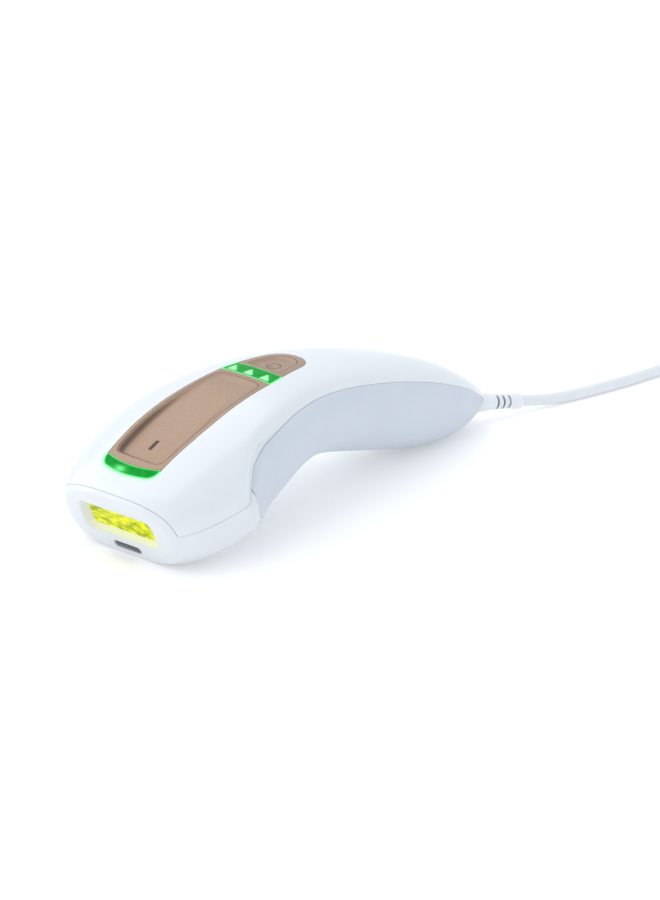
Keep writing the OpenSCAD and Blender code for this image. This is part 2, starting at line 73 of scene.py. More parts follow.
# -------- meshes
def new_object(name, verts, faces, material, body="hand_piece", replaces=(), sharp=42):
    """A visible piece from vertices in metres, riding on a body of the frame."""
    mesh = bpy.data.meshes.new(name)
    mesh.from_pydata([tuple(map(float, v)) for v in verts], [], [tuple(map(int, f)) for f in faces])
    mesh.validate()
    mesh.update()
    mesh.shade_smooth()
    mesh.set_sharp_from_angle(angle=math.radians(sharp))
    o = bpy.data.objects.new(name, mesh)
    scene.collection.objects.link(o)
    mesh.materials.append(material)
    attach(o, body)
    if replaces:
        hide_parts(*replaces)
    return o


def add_values(o, name, values):
    """One number per vertex, that the piece's material reads."""
    a = o.data.attributes.new(name, "FLOAT", "POINT")
    a.data.foreach_set("value", np.asarray(values, np.float32))


def grid_faces(rows, cols, closed=False, flip=False):
    """Quads between rows of vertices; closed joins the last column to the first."""
    out = []
    for i in range(rows - 1):
        for j in range(cols if closed else cols - 1):
            k = (j + 1) % cols
            q = (i * cols + j, i * cols + k, (i + 1) * cols + k, (i + 1) * cols + j)
            out.append(q[::-1] if flip else q)
    return out


def loft(loops, cap_start=True, cap_end=True, flip=False):
    """Closed loops of equal length, joined in order, with flat ends."""
    n = len(loops[0])
    verts = np.concatenate([np.asarray(l, float) for l in loops])
    faces = grid_faces(len(loops), n, True, flip)
    start, end = tuple(range(n)), tuple((len(loops) - 1) * n + j for j in range(n))
    if cap_start:
        faces.append(start if flip else start[::-1])
    if cap_end:
        faces.append(end[::-1] if flip else end)
    return verts, faces


def merge(*parts):
    """Several meshes, each vertices and faces, as one."""
    verts, faces, at = [], [], 0
    for v, f in parts:
        verts.append(np.asarray(v, float))
        faces += [tuple(i + at for i in q) for q in f]
        at += len(v)
    return np.concatenate(verts), faces


# -------- outline of the hand piece
# One ring of the skin per spine position, 0 at the window's face: top y and z, bottom y and z, half width,
# how far up its widest place is, and the power of its superellipse.
RINGS = np.array([
    [-91.5, 22.5, -81, 0, 24, 0, 3.2], [-88, 27.5, -75, 0, 30, -0.2, 3.1],
    [-76.5, 35.5, -62.5, 2, 34, -0.3, 3], [-55.5, 44, -47.5, 6.5, 36.8, -0.3, 2.8],
    [-31.5, 49, -29.5, 16, 34.5, -0.2, 2.6], [-6, 50, -10, 18.3, 28, 0, 2.4],
    [20, 46, 15, 11.3, 23.5, 0.1, 2.4], [46, 39, 38.7, 4.6, 21, 0.2, 2.35],
    [68.5, 29.7, 63, -1.3, 17.5, 0.2, 2.3], [83.5, 20, 81, 1.5, 12.5, 0.1, 2.3],
    [91.5, 14, 87, 4, 8, 0, 2.2]])
# Spine position and angle of the line between the upper cover and the covers below it.
SEAM = np.array([[0, 8], [2.6, 5], [2.75, 14], [3, 24], [3.45, 30], [4.15, 34],
                 [4.7, 34], [5.9, 30], [7.4, 27], [8.5, 25], [9.5, 16], [10, 10]])
BEZEL, HEAD, LAST = 0.42, 2.72, 10.0     # where the bezel, the head cover and the skin end
WAIST = 0.12                             # how much narrower the upper cover is above the grip


def smooth(x):
    """Eased step from 0 to 1."""
    t = np.clip(x, 0, 1)
    return t * t * (3 - 2 * t)


def rings_at(u):
    """The ring at any spine position, along a cubic B-spline through the table."""
    u = np.asarray(u, float)
    i = np.clip(np.floor(u).astype(int), 0, len(RINGS) - 2)
    t = (u - i)[..., None]
    padded = np.concatenate([[2 * RINGS[0] - RINGS[1]], RINGS, [2 * RINGS[-1] - RINGS[-2]]])
    a, b, c, d = padded[i], padded[i + 1], padded[i + 2], padded[i + 3]
    return ((1 - t) ** 3 * a + (3 * t ** 3 - 6 * t * t + 4) * b
            + (1 + 3 * t + 3 * t * t - 3 * t ** 3) * c + t ** 3 * d) / 6


def seam(u):
    return np.interp(u, SEAM[:, 0], SEAM[:, 1])


def as_floats(*values):
    return np.broadcast_arrays(*(np.asarray(v, float) for v in values))


def skin(u, angle, depth=0.0):
    """Points of the hand piece's skin in mm: spine position, angle (0 = +X side, 90 = top), depth."""
    u, angle, depth = as_floats(u, angle, depth)
    s = rings_at(u)
    top, bottom = s[..., 0:2], s[..., 2:4]
    up = top - bottom
    half = np.linalg.norm(up, axis=-1) / 2
    up = up / (2 * half)[..., None]
    wrapped = (angle + 90) % 360 - 90
    rise, side = np.sin(np.radians(angle)), np.cos(np.radians(angle))
    k, n = s[..., 5], s[..., 6]
    reach = np.where(rise > 0, 1 - k, 1 + k) * half - depth
    v = k * half + reach * np.sign(rise) * np.abs(rise) ** (2 / n)
    along = smooth((u - 2.5) / 0.9) * (1 - smooth((u - 4.2) / 3))
    above = np.where(wrapped > 90, 180 - wrapped, wrapped) - seam(np.maximum(u, 2.75))
    drawn = WAIST * along * (1 - smooth(above / 25))
    x = (s[..., 4] - depth) * np.sign(side) * np.abs(side) ** (2 / n) * (1 - drawn)
    c = (top + bottom) / 2
    return np.stack([x, c[..., 0] + v * up[..., 0], c[..., 1] + v * up[..., 1]], -1)


def mm_per_degree(u, angle):
    return np.linalg.norm(skin(u, angle + 0.5) - skin(u, angle - 0.5), axis=-1)


def roll(edge, r):
    """Depth of a rounded edge of radius r, that far in from the edge."""
    e = np.clip(r - edge, 0, r)
    return r - np.sqrt(np.maximum(r * r - e * e, 0))


# -------- control panel frame of reference
# The panel's plan has x across and v along PANEL_Y from PANEL_O, both in mm; PANEL_N points up out of it.
TILT = math.radians(11)
PANEL_O = np.array([0, -51.9, 42.3])
PANEL_Y = np.array([0, math.cos(TILT), math.sin(TILT)])
PANEL_N = np.array([0, -math.sin(TILT), math.cos(TILT)])


def plan_of(points):
    """Points seen along the panel's normal."""
    return np.stack([points[:, 0], (points - PANEL_O) @ PANEL_Y], -1)


def uv_of(xv):
    """Spine position and angle of the skin above points of the panel's plan, by Newton's method."""
    xv = np.asarray(xv, float)
    u = np.interp(xv[:, 1], [-36, -33, -12, 17, 56], [0.6, 0.85, 2.2, 4.1, 5.7])
    a = 90 - xv[:, 0] * 1.9
    small_u, small_a = 1e-3, 1e-2
    for _ in range(12):
        p = skin(u, a)
        miss = plan_of(p) - xv
        along_u = (skin(u + small_u, a) - p) / small_u
        along_a = (skin(u, a + small_a) - p) / small_a
        slopes = np.stack([np.stack([along_u[:, 0], along_a[:, 0]], -1),
                           np.stack([along_u @ PANEL_Y, along_a @ PANEL_Y], -1)], -2)
        step = np.linalg.solve(slopes, miss[..., None])[..., 0]
        u = np.clip(u - np.clip(step[:, 0], -0.5, 0.5), 0.3, 7)
        a = np.clip(a - np.clip(step[:, 1], -15, 15), 30, 150)
    return u, a


def on_skin(xv, depth=0.0):
    """Points of the panel's plan, on the skin or that far below it along the panel's normal (mm)."""
    u, a = uv_of(xv)
    return skin(u, a) - np.asarray(depth, float).reshape(-1, 1) * PANEL_N


def closed_smooth(points, spacing, sigma):
    """Closed line resampled evenly, its corners rounded by a blur of sigma mm."""
    p = np.asarray(points, float)
    p = np.concatenate([p, p[:1]])
    at = np.concatenate([[0], np.cumsum(np.linalg.norm(np.diff(p, axis=0), axis=1))])
    n = int(round(at[-1] / spacing / 4)) * 4
    s = np.linspace(0, at[-1], n, endpoint=False)
    q = np.stack([np.interp(s, at, p[:, 0]), np.interp(s, at, p[:, 1])], -1)
    if sigma > 0:
        freq = np.fft.fftfreq(n, d=at[-1] / n)
        gain = np.exp(-2 * (np.pi * freq * sigma) ** 2)[:, None]
        q = np.real(np.fft.ifft(np.fft.fft(q, axis=0) * gain, axis=0))
    return q


def offset(loop, by):
    """Closed anticlockwise line moved by mm to its outside."""
    t = np.roll(loop, -1, 0) - np.roll(loop, 1, 0)
    t /= np.linalg.norm(t, axis=1)[:, None]
    return loop + by * np.stack([t[:, 1], -t[:, 0]], -1)


def inside(points, loop):
    """True for points inside a closed line."""
    x, y = points[:, 0:1], points[:, 1:2]
    x0, y0 = loop[:, 0], loop[:, 1]
    x1, y1 = np.roll(x0, -1), np.roll(y0, -1)
    cross = (y0 > y) != (y1 > y)
    with np.errstate(divide="ignore", invalid="ignore"):
        at = x0 + (y - y0) * (x1 - x0) / (y1 - y0)
    return (np.sum(cross & (x < at), axis=1) % 2) == 1


def triangulate(points, edges, outer, holes=()):
    """Triangles between points, keeping the edges; source gives each vertex's place in the points, or -1."""
    r = delaunay_2d_cdt([Vector((float(x), float(y))) for x, y in points], edges, [], 0, 1e-7)
    out, tris = np.array([tuple(v) for v in r[0]]), np.array([f for f in r[2] if len(f) == 3])
    mid = out[tris].mean(1)
    keep = inside(mid, outer)
    for h in holes:
        keep &= ~inside(mid, h)
    source = np.array([o[0] if len(o) else -1 for o in r[3]])
    return out, tris[keep], source


def inner_points(outline, holes, spacing, margin):
    """Square grid of points, a margin away from the outline and the holes."""
    lo, hi = outline.min(0), outline.max(0)
    grid = np.meshgrid(np.arange(lo[0], hi[0], spacing), np.arange(lo[1], hi[1], spacing))
    points = np.stack([g.ravel() for g in grid], -1)
    keep = inside(points, offset(outline, -margin))
    for h in holes:
        keep &= ~inside(points, offset(h, margin))
    return points[keep]


def loop_edges(n, at=0):
    """Edges of a closed line of n vertices, the first of them number at."""
    return [(at + j, at + (j + 1) % n) for j in range(n)]


def plate(outline, spacing, edge_rows, top, bottom, holes=()):
    """Closed solid over a plan. top and bottom take plan points and their distance from the edge."""
    rows, marks, edges, borders, at = [], [], [], [], 0
    for loop, way in [(outline, 1)] + [(h, -1) for h in holes]:
        for k, e in enumerate(edge_rows):
            ring = offset(loop, -way * e) if e else loop
            n = len(ring)
            rows.append(ring)
            marks += [e] * n
            edges += loop_edges(n, at)
            if k == 0:
                borders.append((at, n, way))
            at += n
    last = edge_rows[-1]
    rest = inner_points(outline, holes, spacing, last + spacing * 0.6)
    past = last + 1.0
    marks = np.array(marks + [past] * len(rest))
    out, tris, source = triangulate(np.concatenate(rows + [rest]), edges, outline, holes)
    e = np.where(source >= 0, marks[np.maximum(source, 0)], past)
    n = len(out)
    upper, lower = top(out, e), bottom(out, e)
    a, b, c = out[tris[:, 0]], out[tris[:, 1]], out[tris[:, 2]]
    area = (b[:, 0] - a[:, 0]) * (c[:, 1] - a[:, 1]) - (b[:, 1] - a[:, 1]) * (c[:, 0] - a[:, 0])
    tris = np.where((area > 0)[:, None], tris, tris[:, ::-1])
    faces = [tuple(t) for t in tris] + [tuple(t[::-1] + n) for t in tris]
    where = {int(s): i for i, s in enumerate(source) if s >= 0}
    for start, count, way in borders:
        for j, k in loop_edges(count, start):
            p, q = where[j], where[k]
            wall = (q, p, p + n, q + n)
            faces.append(wall if way > 0 else wall[::-1])
    return np.concatenate([upper, lower]), faces, np.concatenate([e, e])


# -------- materials
class Shader:
    """A Principled material with procedural roughness and bump in object space."""

    def __init__(self, name, color, rough, metallic=0.0, coat=0.0, coat_rough=0.1, transmission=0.0):
        self.mat = bpy.data.materials.new(name)
        self.mat.use_nodes = True
        self.tree = self.mat.node_tree
        self.nodes, self.links = self.tree.nodes, self.tree.links
        self.p = self.nodes["Principled BSDF"]
        self.p.inputs["Base Color"].default_value = (*color, 1)
        self.p.inputs["Roughness"].default_value = rough
        self.p.inputs["Metallic"].default_value = metallic
        self.p.inputs["IOR"].default_value = 1.5
        self.p.inputs["Coat Weight"].default_value = coat
        self.p.inputs["Coat Roughness"].default_value = coat_rough
        self.p.inputs["Transmission Weight"].default_value = transmission
        self.rough = rough
        self.at = self.nodes.new("ShaderNodeTexCoord").outputs["Object"]

    def stretched(self, stretch):
        """Object space, scaled along its axes."""
        if not stretch:
            return self.at
        m = self.nodes.new("ShaderNodeMapping")
        m.inputs["Scale"].default_value = stretch
        self.links.new(self.at, m.inputs["Vector"])
        return m.outputs["Vector"]

    def noise(self, scale, detail=3.0, stretch=None):
        n = self.nodes.new("ShaderNodeTexNoise")
        n.inputs["Scale"].default_value = scale
        n.inputs["Detail"].default_value = detail
        self.links.new(self.stretched(stretch), n.inputs["Vector"])
        return n.outputs["Fac"]

    def ramp(self, value, a, b, lo=0.0, hi=1.0):
        """value from a to b becomes lo to hi."""
        r = self.nodes.new("ShaderNodeMapRange")
        r.inputs["From Min"].default_value, r.inputs["From Max"].default_value = a, b
        r.inputs["To Min"].default_value, r.inputs["To Max"].default_value = lo, hi
        self.links.new(value, r.inputs["Value"])
        return r.outputs["Result"]

    def mix(self, fac, a, b):
        m = self.nodes.new("ShaderNodeMix")
        m.data_type = "RGBA"
        self.links.new(fac, m.inputs["Factor"])
        for socket, c in ((m.inputs[6], a), (m.inputs[7], b)):
            if isinstance(c, tuple):
                socket.default_value = (*c, 1)
            else:
                self.links.new(c, socket)
        return m.outputs[2]

    def cloudy(self, scale, detail, limits, a, b):
        """Colour a below the first limit of a noise, b above the second, and between them a mixture."""
        return self.mix(self.ramp(self.noise(scale, detail), *limits), a, b)

    def attribute(self, name):
        a = self.nodes.new("ShaderNodeAttribute")
        a.attribute_name = name
        return a.outputs["Fac"]

    def paint(self, output):
        self.links.new(output, self.p.inputs["Base Color"])
        return self

    def vary_rough(self, scale, spread, detail=2.0):
        rough = self.ramp(self.noise(scale, detail), 0.3, 0.7, self.rough - spread, self.rough + spread)
        self.links.new(rough, self.p.inputs["Roughness"])
        return self

    def bump(self, scale, strength, distance, detail=2.0, stretch=None):
        b = self.nodes.new("ShaderNodeBump")
        b.inputs["Strength"].default_value = strength
        b.inputs["Distance"].default_value = distance
        self.links.new(self.noise(scale, detail, stretch), b.inputs["Height"])
        self.links.new(b.outputs["Normal"], self.p.inputs["Normal"])
        return self

    def glow(self, color, strength):
        if isinstance(color, tuple):
            self.p.inputs["Emission Color"].default_value = (*color, 1)
        else:
            self.links.new(color, self.p.inputs["Emission Color"])
        if isinstance(strength, (int, float)):
            self.p.inputs["Emission Strength"].default_value = strength
        else:
            self.links.new(strength, self.p.inputs["Emission Strength"])
        return self


def dim(color, by):
    return tuple(c * by for c in color)


def plain(name, color, rough, scale=900, bump=0.05, vary=0.04, tint=0.06, **kw):
    """A moulded or cast surface: slight colour, roughness and height variation."""
    s = Shader(name, color, rough, **kw)
    s.paint(s.cloudy(scale * 0.12, 4.0, (0.35, 0.65), dim(color, 1 - tint), color))
    s.vary_rough(scale * 0.3, vary)
    s.bump(scale, bump, 0.0002, 3.0)
    return s


WHITE = (0.7, 0.728, 0.765)
SATIN = (0.575, 0.62, 0.69)
BRONZE = (0.355, 0.232, 0.16)

# The covers take painted light, read from values on their vertices: a green glow painted round the lights,
# and a yellow glow painted in the window's opening.
gloss_white = Shader("gloss_white", WHITE, 0.24, coat=0.35, coat_rough=0.08)
white_base = gloss_white.cloudy(60, 3.0, (0.3, 0.7), dim(WHITE, 0.985), WHITE)
white_with_painted_yellow_glow = gloss_white.mix(gloss_white.attribute("painted_yellow_glow"), white_base, (0.9, 0.9, 0.45))
gloss_white.paint(gloss_white.mix(gloss_white.attribute("painted_green_glow"), white_with_painted_yellow_glow, (0.3, 0.93, 0.42)))
gloss_white.vary_rough(300, 0.03).bump(1400, 0.03, 0.0001, 2.0)

satin_white = Shader("satin_white", SATIN, 0.42)
satin_white.paint(satin_white.cloudy(80, 4.0, (0.3, 0.7), dim(SATIN, 0.97), SATIN))
satin_white.vary_rough(500, 0.04).bump(5200, 0.12, 0.0001, 2.0)

bronze = Shader("bronze_lacquer", BRONZE, 0.36, metallic=0.45, coat=0.15, coat_rough=0.3)
flakes = bronze.cloudy(2600, 2.0, (0.42, 0.62), dim(BRONZE, 0.9), dim(BRONZE, 1.05))
# painted shade darkens the bronze on the flash key's dish wall
bronze.paint(bronze.mix(bronze.attribute("wall"), flakes, dim(BRONZE, 0.38)))
bronze.vary_rough(900, 0.04).bump(6000, 0.1, 0.0001, 1.0)
bronze_mark = plain("bronze_mark", (0.05, 0.03, 0.02), 0.5, 2500)

green = Shader("green_lens", (0.0, 0.36, 0.04), 0.22)
green.p.inputs["Specular IOR Level"].default_value = 0.06
# the rim value also carries a painted highlight, a soft pale patch that lightens the lens's colour and glow
edge = green.attribute("edge")
GREEN_RIM_AND_HIGHLIGHT = (0.2, 0.9, 0.3)
green_middle = green.cloudy(420, 3.0, (0.35, 0.7), (0.0, 0.21, 0.015), (0.0, 0.3, 0.03))
green.paint(green.mix(edge, green_middle, GREEN_RIM_AND_HIGHLIGHT))
green.glow(green.mix(edge, (0.0, 0.4, 0.04), GREEN_RIM_AND_HIGHLIGHT), green.ramp(edge, 0, 1, 0.12, 0.45))
green.vary_rough(700, 0.03).bump(2500, 0.05, 0.0001)

pale = Shader("pale_guide", (0.32, 0.85, 0.36), 0.25, coat=0.3)
pale.paint(pale.cloudy(900, 3.0, (0.35, 0.65), (0.25, 0.8, 0.3), (0.45, 0.92, 0.48)))
pale.glow((0.35, 0.9, 0.4), 0.3)
pale.vary_rough(800, 0.03).bump(2500, 0.05, 0.0001)

# Glass with painted light: it glows though it is no lamp, and painted bright streaks of sparkle run over the
# cells of its facets.
filt = Shader("filter_glass", (0.66, 0.72, 0.0), 0.1, transmission=0.1)
filt.p.inputs["Specular IOR Level"].default_value = 0.15
facets = filt.nodes.new("ShaderNodeTexVoronoi")
facets.inputs["Scale"].default_value = 330
facets.inputs["Randomness"].default_value = 0.9
filt.links.new(filt.stretched((0.62, 1.0, 1.5)), facets.inputs["Vector"])
cells = filt.ramp(facets.outputs["Distance"], 0.15, 0.75)
STREAKS = (0.7, 1.0, 1.6)
painted_sparkle = filt.ramp(filt.noise(420, 5.0, STREAKS), 0.42, 0.66)
deep = filt.mix(cells, (0.62, 0.66, 0.0), (0.26, 0.33, 0.0))
filt.paint(filt.mix(painted_sparkle, deep, (0.86, 0.88, 0.0)))
# painted glow, brighter along the painted sparkle
filt.glow(filt.mix(painted_sparkle, (0.3, 0.36, 0.0), (0.75, 0.8, 0.0)), 0.22)
filt.vary_rough(700, 0.02).bump(380, 0.35, 0.0004, 4.0, STREAKS)

BOOT, BOOT_SLOT_SHADE = (0.76, 0.785, 0.82), (0.2, 0.215, 0.26)
soft_white = Shader("soft_white", BOOT, 0.38)
# painted shade darkens the boot's slots
soft_white.paint(soft_white.mix(soft_white.attribute("painted_slot_shade"), BOOT, BOOT_SLOT_SHADE))
soft_white.vary_rough(600, 0.04).bump(3000, 0.08, 0.0001)

cord_white = plain("cord_white", (0.73, 0.755, 0.79), 0.36, 1600, 0.06, 0.04, 0.03)
adapter_white = plain("adapter_white", (0.78, 0.8, 0.83), 0.42, 2600, 0.1, 0.04, 0.03)
sensor = plain("sensor_dark", (0.05, 0.066, 0.105), 0.28, 1800, 0.05, 0.04, 0.3, coat=0.3)
grey = plain("grey_plastic", (0.42, 0.43, 0.44), 0.5, 1500)
black = plain("black_plastic", (0.03, 0.03, 0.033), 0.45, 1500, 0.12)
tray = plain("tray_plastic", (0.6, 0.6, 0.58), 0.5, 1300)
ceramic = plain("ceramic", (0.84, 0.8, 0.72), 0.62, 1800, 0.2)
quartz = plain("quartz", (0.85, 0.9, 0.95), 0.06, 800, 0.02, 0.02, transmission=0.85)
steel = plain("steel", (0.6, 0.6, 0.61), 0.3, 2400, 0.12, 0.08, metallic=1.0)
chrome = plain("mirror_metal", (0.85, 0.85, 0.86), 0.1, 900, 0.03, 0.04, metallic=1.0)
strap = Shader("strap_weave", (0.028, 0.028, 0.032), 0.85)
strap.paint(strap.cloudy(3000, 2.0, (0.35, 0.65), (0.02, 0.02, 0.023), (0.05, 0.05, 0.055)))
strap.bump(2600, 0.6, 0.0002, 2.0)

BRUSHED = (12, 1, 1)
alu = Shader("aluminium", (0.72, 0.73, 0.75), 0.36, metallic=1.0)
brushing = alu.ramp(alu.noise(900, 3.0, BRUSHED), 0.35, 0.65)
alu.paint(alu.mix(brushing, (0.62, 0.63, 0.65), (0.76, 0.77, 0.79)))
alu.vary_rough(1500, 0.08).bump(1400, 0.2, 0.0001, 2.0, BRUSHED)

BOARD_GREEN = (0.012, 0.13, 0.05)
board = Shader("circuit_board", BOARD_GREEN, 0.35)
weave = board.nodes.new("ShaderNodeTexBrick")
weave.inputs["Scale"].default_value = 260
weave.inputs["Mortar Size"].default_value = 0.05
weave.inputs["Color1"].default_value = (*BOARD_GREEN, 1)
weave.inputs["Color2"].default_value = (0.015, 0.17, 0.065, 1)
weave.inputs["Mortar"].default_value = (0.05, 0.27, 0.11, 1)
board.links.new(board.at, weave.inputs["Vector"])
board.paint(weave.outputs["Color"])
board.vary_rough(900, 0.05).bump(1800, 0.15, 0.0001)
sleeve = plain("capacitor_sleeve", (0.03, 0.07, 0.2), 0.3, 900, 0.1)
tape = plain("transformer_tape", (0.62, 0.44, 0.06), 0.4, 1200, 0.12)
led = plain("led", (0.85, 0.85, 0.75), 0.3, 2000)
brass = plain("pin_metal", (0.66, 0.64, 0.58), 0.22, 2000, 0.05, 0.05, metallic=1.0)

for node, shader in {
    "window_frame": grey, "flash_lamp": quartz, "lamp_terminals": steel, "lamp_holders": ceramic,
    "reflector": chrome, "heat_sink": alu, "fan_frame": black, "fan_rotor": black, "chassis": tray,
    "main_board": board, "flash_capacitor": sleeve, "transformer": tape, "panel_board": board,
    "indicator_leds": led, "flash_switch": black, "flash_plunger": tray, "power_switch": black,
    "power_plunger": tray, "case_screws": steel, "adapter_pins": brass,
}.items():
    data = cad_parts[node].data
    data.materials.clear()
    data.materials.append(shader.mat)

# -------- cord
CORD_R = 2.0
RELIEF_ROOT, RELIEF_END = np.array([1.5, 86, 8.0]), np.array([8.5, 108.5, 4.2])
COIL_X, COIL_Y, COIL_R = -12.0, 268.0, 24.0
PITCH = 2 * CORD_R                     # the coil's turns touch
COIL_Z = 2.6                           # its first layer lies on the tie's underside
LAYER = PITCH * math.sqrt(3) / 2       # the second lies in the grooves of the first
ENTRY = np.array([2, 319.5, 8.0])


def through(points, per=8):
    """Catmull-Rom line through points."""
    p = np.asarray(points, float)
    p = np.concatenate([[2 * p[0] - p[1]], p, [2 * p[-1] - p[-2]]])
    out = []
    for i in range(1, len(p) - 2):
        for t in np.arange(per) / per:
            a, b, c, d = p[i - 1], p[i], p[i + 1], p[i + 2]
            out.append(0.5 * (2 * b + (c - a) * t + (2 * a - 5 * b + 4 * c - d) * t * t
                              + (3 * b - a - 3 * c + d) * t ** 3))
    return np.array(out + [p[-2]])


def coil_line():
    """Ten turns: six spiralling in on the floor, then up and out again in the grooves between them."""
    out = []
    for deg in np.arange(0, 3600, 6.0):
        turn, phi = int(deg // 360), deg % 360
        shift = float(smooth((phi - 250) / 90))
        if deg < 5 * 360 + 150:
            r = COIL_R + 10 - PITCH * (turn + (shift if turn < 5 else 0))
            z = COIL_Z
        elif deg < 5 * 360 + 240:
            t = math.radians(180 - 60 * float(smooth((phi - 150) / 90)))
            r, z = COIL_R - 6 + PITCH * math.cos(t), COIL_Z + PITCH * math.sin(t)
        else:
            moved = float(smooth((phi - 50) / 90)) if turn > 5 else 0
            r = COIL_R - 8 + PITCH * (max(turn - 6, 0) + moved)
            z = COIL_Z + LAYER + 0.5 * (math.sin(math.pi * shift) + math.sin(math.pi * moved))
        a = math.radians(phi)
        out.append([COIL_X + r * math.cos(a), COIL_Y + r * math.sin(a), z])
    return np.array(out)


lead = through([RELIEF_END + (RELIEF_ROOT - RELIEF_END) * 0.25, RELIEF_END, [11.6, 118.5, 2.7],
                [14.5, 129, 2.05], [17.4, 142, 2], [19.8, 156, 2], [21.4, 171, 2], [22.4, 187, 2],
                [23, 204, 2], [23.2, 221, 2], [22.9, 238, 2], [22.3, 254, 2.4], [22, 268, COIL_Z]], 6)
tail = through([[20, 268, COIL_Z + LAYER], [19.6, 279, 6.7], [17.6, 289, 6.4], [13, 298, 4.6],
                [7.6, 305.5, 4.6], [4, 312.5, 6.6], ENTRY, ENTRY + [0, 5, 0.2]], 6)
line = np.concatenate([lead[:-1], coil_line(), tail])
line[:, 2] = np.maximum(line[:, 2], CORD_R)


def make_cord():
    data = bpy.data.curves.new("cord", "CURVE")
    data.dimensions = "3D"
    data.bevel_depth = CORD_R * MM
    data.bevel_resolution = 5
    data.use_fill_caps = True
    spline = data.splines.new("POLY")
    spline.points.add(len(line) - 1)
    for point, at in zip(spline.points, line):
        point.co = (*(at * MM), 1)
    spline.use_smooth = True
    data.materials.append(cord_white.mat)
    o = bpy.data.objects.new("cord", data)
    scene.collection.objects.link(o)
    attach(o, "hand_piece")
    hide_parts("cord_lead", "cord_coil", "cord_tail")
    return o


cord = make_cord()


def tube_frame(a, b):
    """Three axes at right angles, the last of them from a to b."""
    z = (b - a) / np.linalg.norm(b - a)
    x = np.cross([0, 0, 1.0], z)
    x /= np.linalg.norm(x)
    return x, np.cross(z, x), z


def make_relief():
    """Tapered boot with three curved slots on each side and a collar at its end."""
    x, y, z = tube_frame(RELIEF_ROOT, RELIEF_END)
    length = np.linalg.norm(RELIEF_END - RELIEF_ROOT)
    profile = np.array([
        [0, 3.9], [1, 3.92], [2, 3.9], [3, 3.86], [5, 3.72], [8, 3.4], [9, 3.25], [10, 3.05], [11, 2.92],
        [12.5, 2.86], [16.5, 2.72], [18.5, 2.66], [19.5, 2.62], [20.3, 2.62], [20.5, 2.86], [22.6, 2.84],
        [length - 0.5, 2.8], [length - 0.12, 2.6], [length, 2.3]])
    s = np.unique(np.concatenate([np.linspace(0, length, 150), profile[:, 0]]))
    phi = np.linspace(0, 2 * np.pi, 96, endpoint=False)
    base = np.interp(s, profile[:, 0], profile[:, 1])
    cut = np.zeros((len(s), len(phi)))
    for centre in 12.7, 15.2, 17.7:
        for side in (0.0, np.pi):
            away = np.abs((phi - side + np.pi) % (2 * np.pi) - np.pi)
            bow = centre + 0.5 * np.cos(away)
            across = 1 - smooth((np.abs(s[:, None] - bow[None, :]) - 0.26) / 0.22)
            cut = np.maximum(cut, across * (1 - smooth((away - 1.12) / 0.18))[None, :])
    r = base[:, None] - 0.75 * cut
    out = np.cos(phi)[:, None] * x + np.sin(phi)[:, None] * y
    loops = [RELIEF_ROOT + z * at + ri[:, None] * out for at, ri in zip(s, r)]
    loops.append(RELIEF_ROOT + z * (length - 0.5) + (CORD_R + 0.02) * out)
    verts, faces = loft(loops)
    o = new_object("strain_relief_boot", verts * MM, faces, soft_white.mat, replaces=["strain_relief"],
                   sharp=50)
    # painted shade, where the slots cut in
    marks = np.concatenate([cut.ravel(), np.zeros(len(phi))])
    add_values(o, "painted_slot_shade", np.clip(marks * 1.2, 0, 1))


make_relief()


# -------- covers
GAP = 0.06           # half of a seam between two covers
SHEET = 1.5          # thickness that the covers are given


def waisted(u, angle, depth=0.0):
    """The skin, drawn in along the front of the grip's seam."""
    u, angle = as_floats(u, angle)
    side = (angle + 90) % 360 - 90
    side = np.where(side > 90, 180 - side, side)
    off = (side - seam(u)) * 0.5
    reach = np.where(off > 0, 5.5, 1.6)
    ramp = smooth((u - 2.3) / 0.4) * (1 - smooth((u - 3.3) / 1.3))
    return skin(u, angle, depth + 1.25 * ramp * np.exp(-(off / reach) ** 2))


def shell(name, points, faces, material, node, thickness=SHEET, bevel=0.13):
    """A cover: one sheet of faces, thickened to its inside and with its edges bevelled."""
    o = new_object(name, np.asarray(points) * MM, faces, material, replaces=[node], sharp=180)
    m = o.modifiers.new("wall", "SOLIDIFY")
    m.thickness = thickness * MM
    m.offset = -1
    m.use_even_offset = False
    b = o.modifiers.new("edges", "BEVEL")
    b.width = bevel * MM
    b.segments = 2
    b.limit_method = "ANGLE"
    b.angle_limit = math.radians(62)
    b.use_clamp_overlap = True
    return o


def dense(lo, hi, count, edge_lo, edge_hi):
    """From lo to hi in even steps, with the given extra small steps at both ends."""
    inner = np.linspace(lo + edge_lo[-1], hi - edge_hi[-1], count)
    return np.concatenate([lo + np.asarray(edge_lo[:-1]), inner, (hi - np.asarray(edge_hi[:-1]))[::-1]])


EDGE = np.array([0, 0.3, 0.8])


def with_knots(u):
    """Adds the spine positions at which the seam turns."""
    knots = SEAM[(SEAM[:, 0] > u[0] + 0.01) & (SEAM[:, 0] < u[-1] - 0.01), 0]
    far = np.abs(u[:, None] - knots[None]).min(1) > 0.015
    far[[0, -1]] = True
    return np.sort(np.concatenate([u[far], knots]))


TAIL = [(0.38, 0.26), (0.64, 0.55), (0.8, 0.95), (0.86, 1.5), (0.82, 2.3), (0.7, 3.3)]


def tail_rows(angles):
    """Rows that round the end of the covers over, past the last ring."""
    return [skin(LAST, angles, d) + [0, dy, 0] for dy, d in TAIL]


def convex_hull(points):
    """Anticlockwise hull of points in a plan."""
    p = sorted(map(tuple, points))

    def half(seq):
        out = []
        for q in seq:
            while len(out) > 1 and ((out[-1][0] - out[-2][0]) * (q[1] - out[-2][1])
                                    - (out[-1][1] - out[-2][1]) * (q[0] - out[-2][0])) <= 0:
                out.pop()
            out.append(q)
        return out[:-1]
    return np.array(half(p) + half(p[::-1]))


def arc(cx, cy, rx, ry, a0, a1, n=90):
    """Points of an ellipse from a0 to a1 degrees."""
    a = np.radians(np.linspace(a0, a1, n))
    return np.stack([cx + rx * np.cos(a), cy + ry * np.sin(a)], -1)


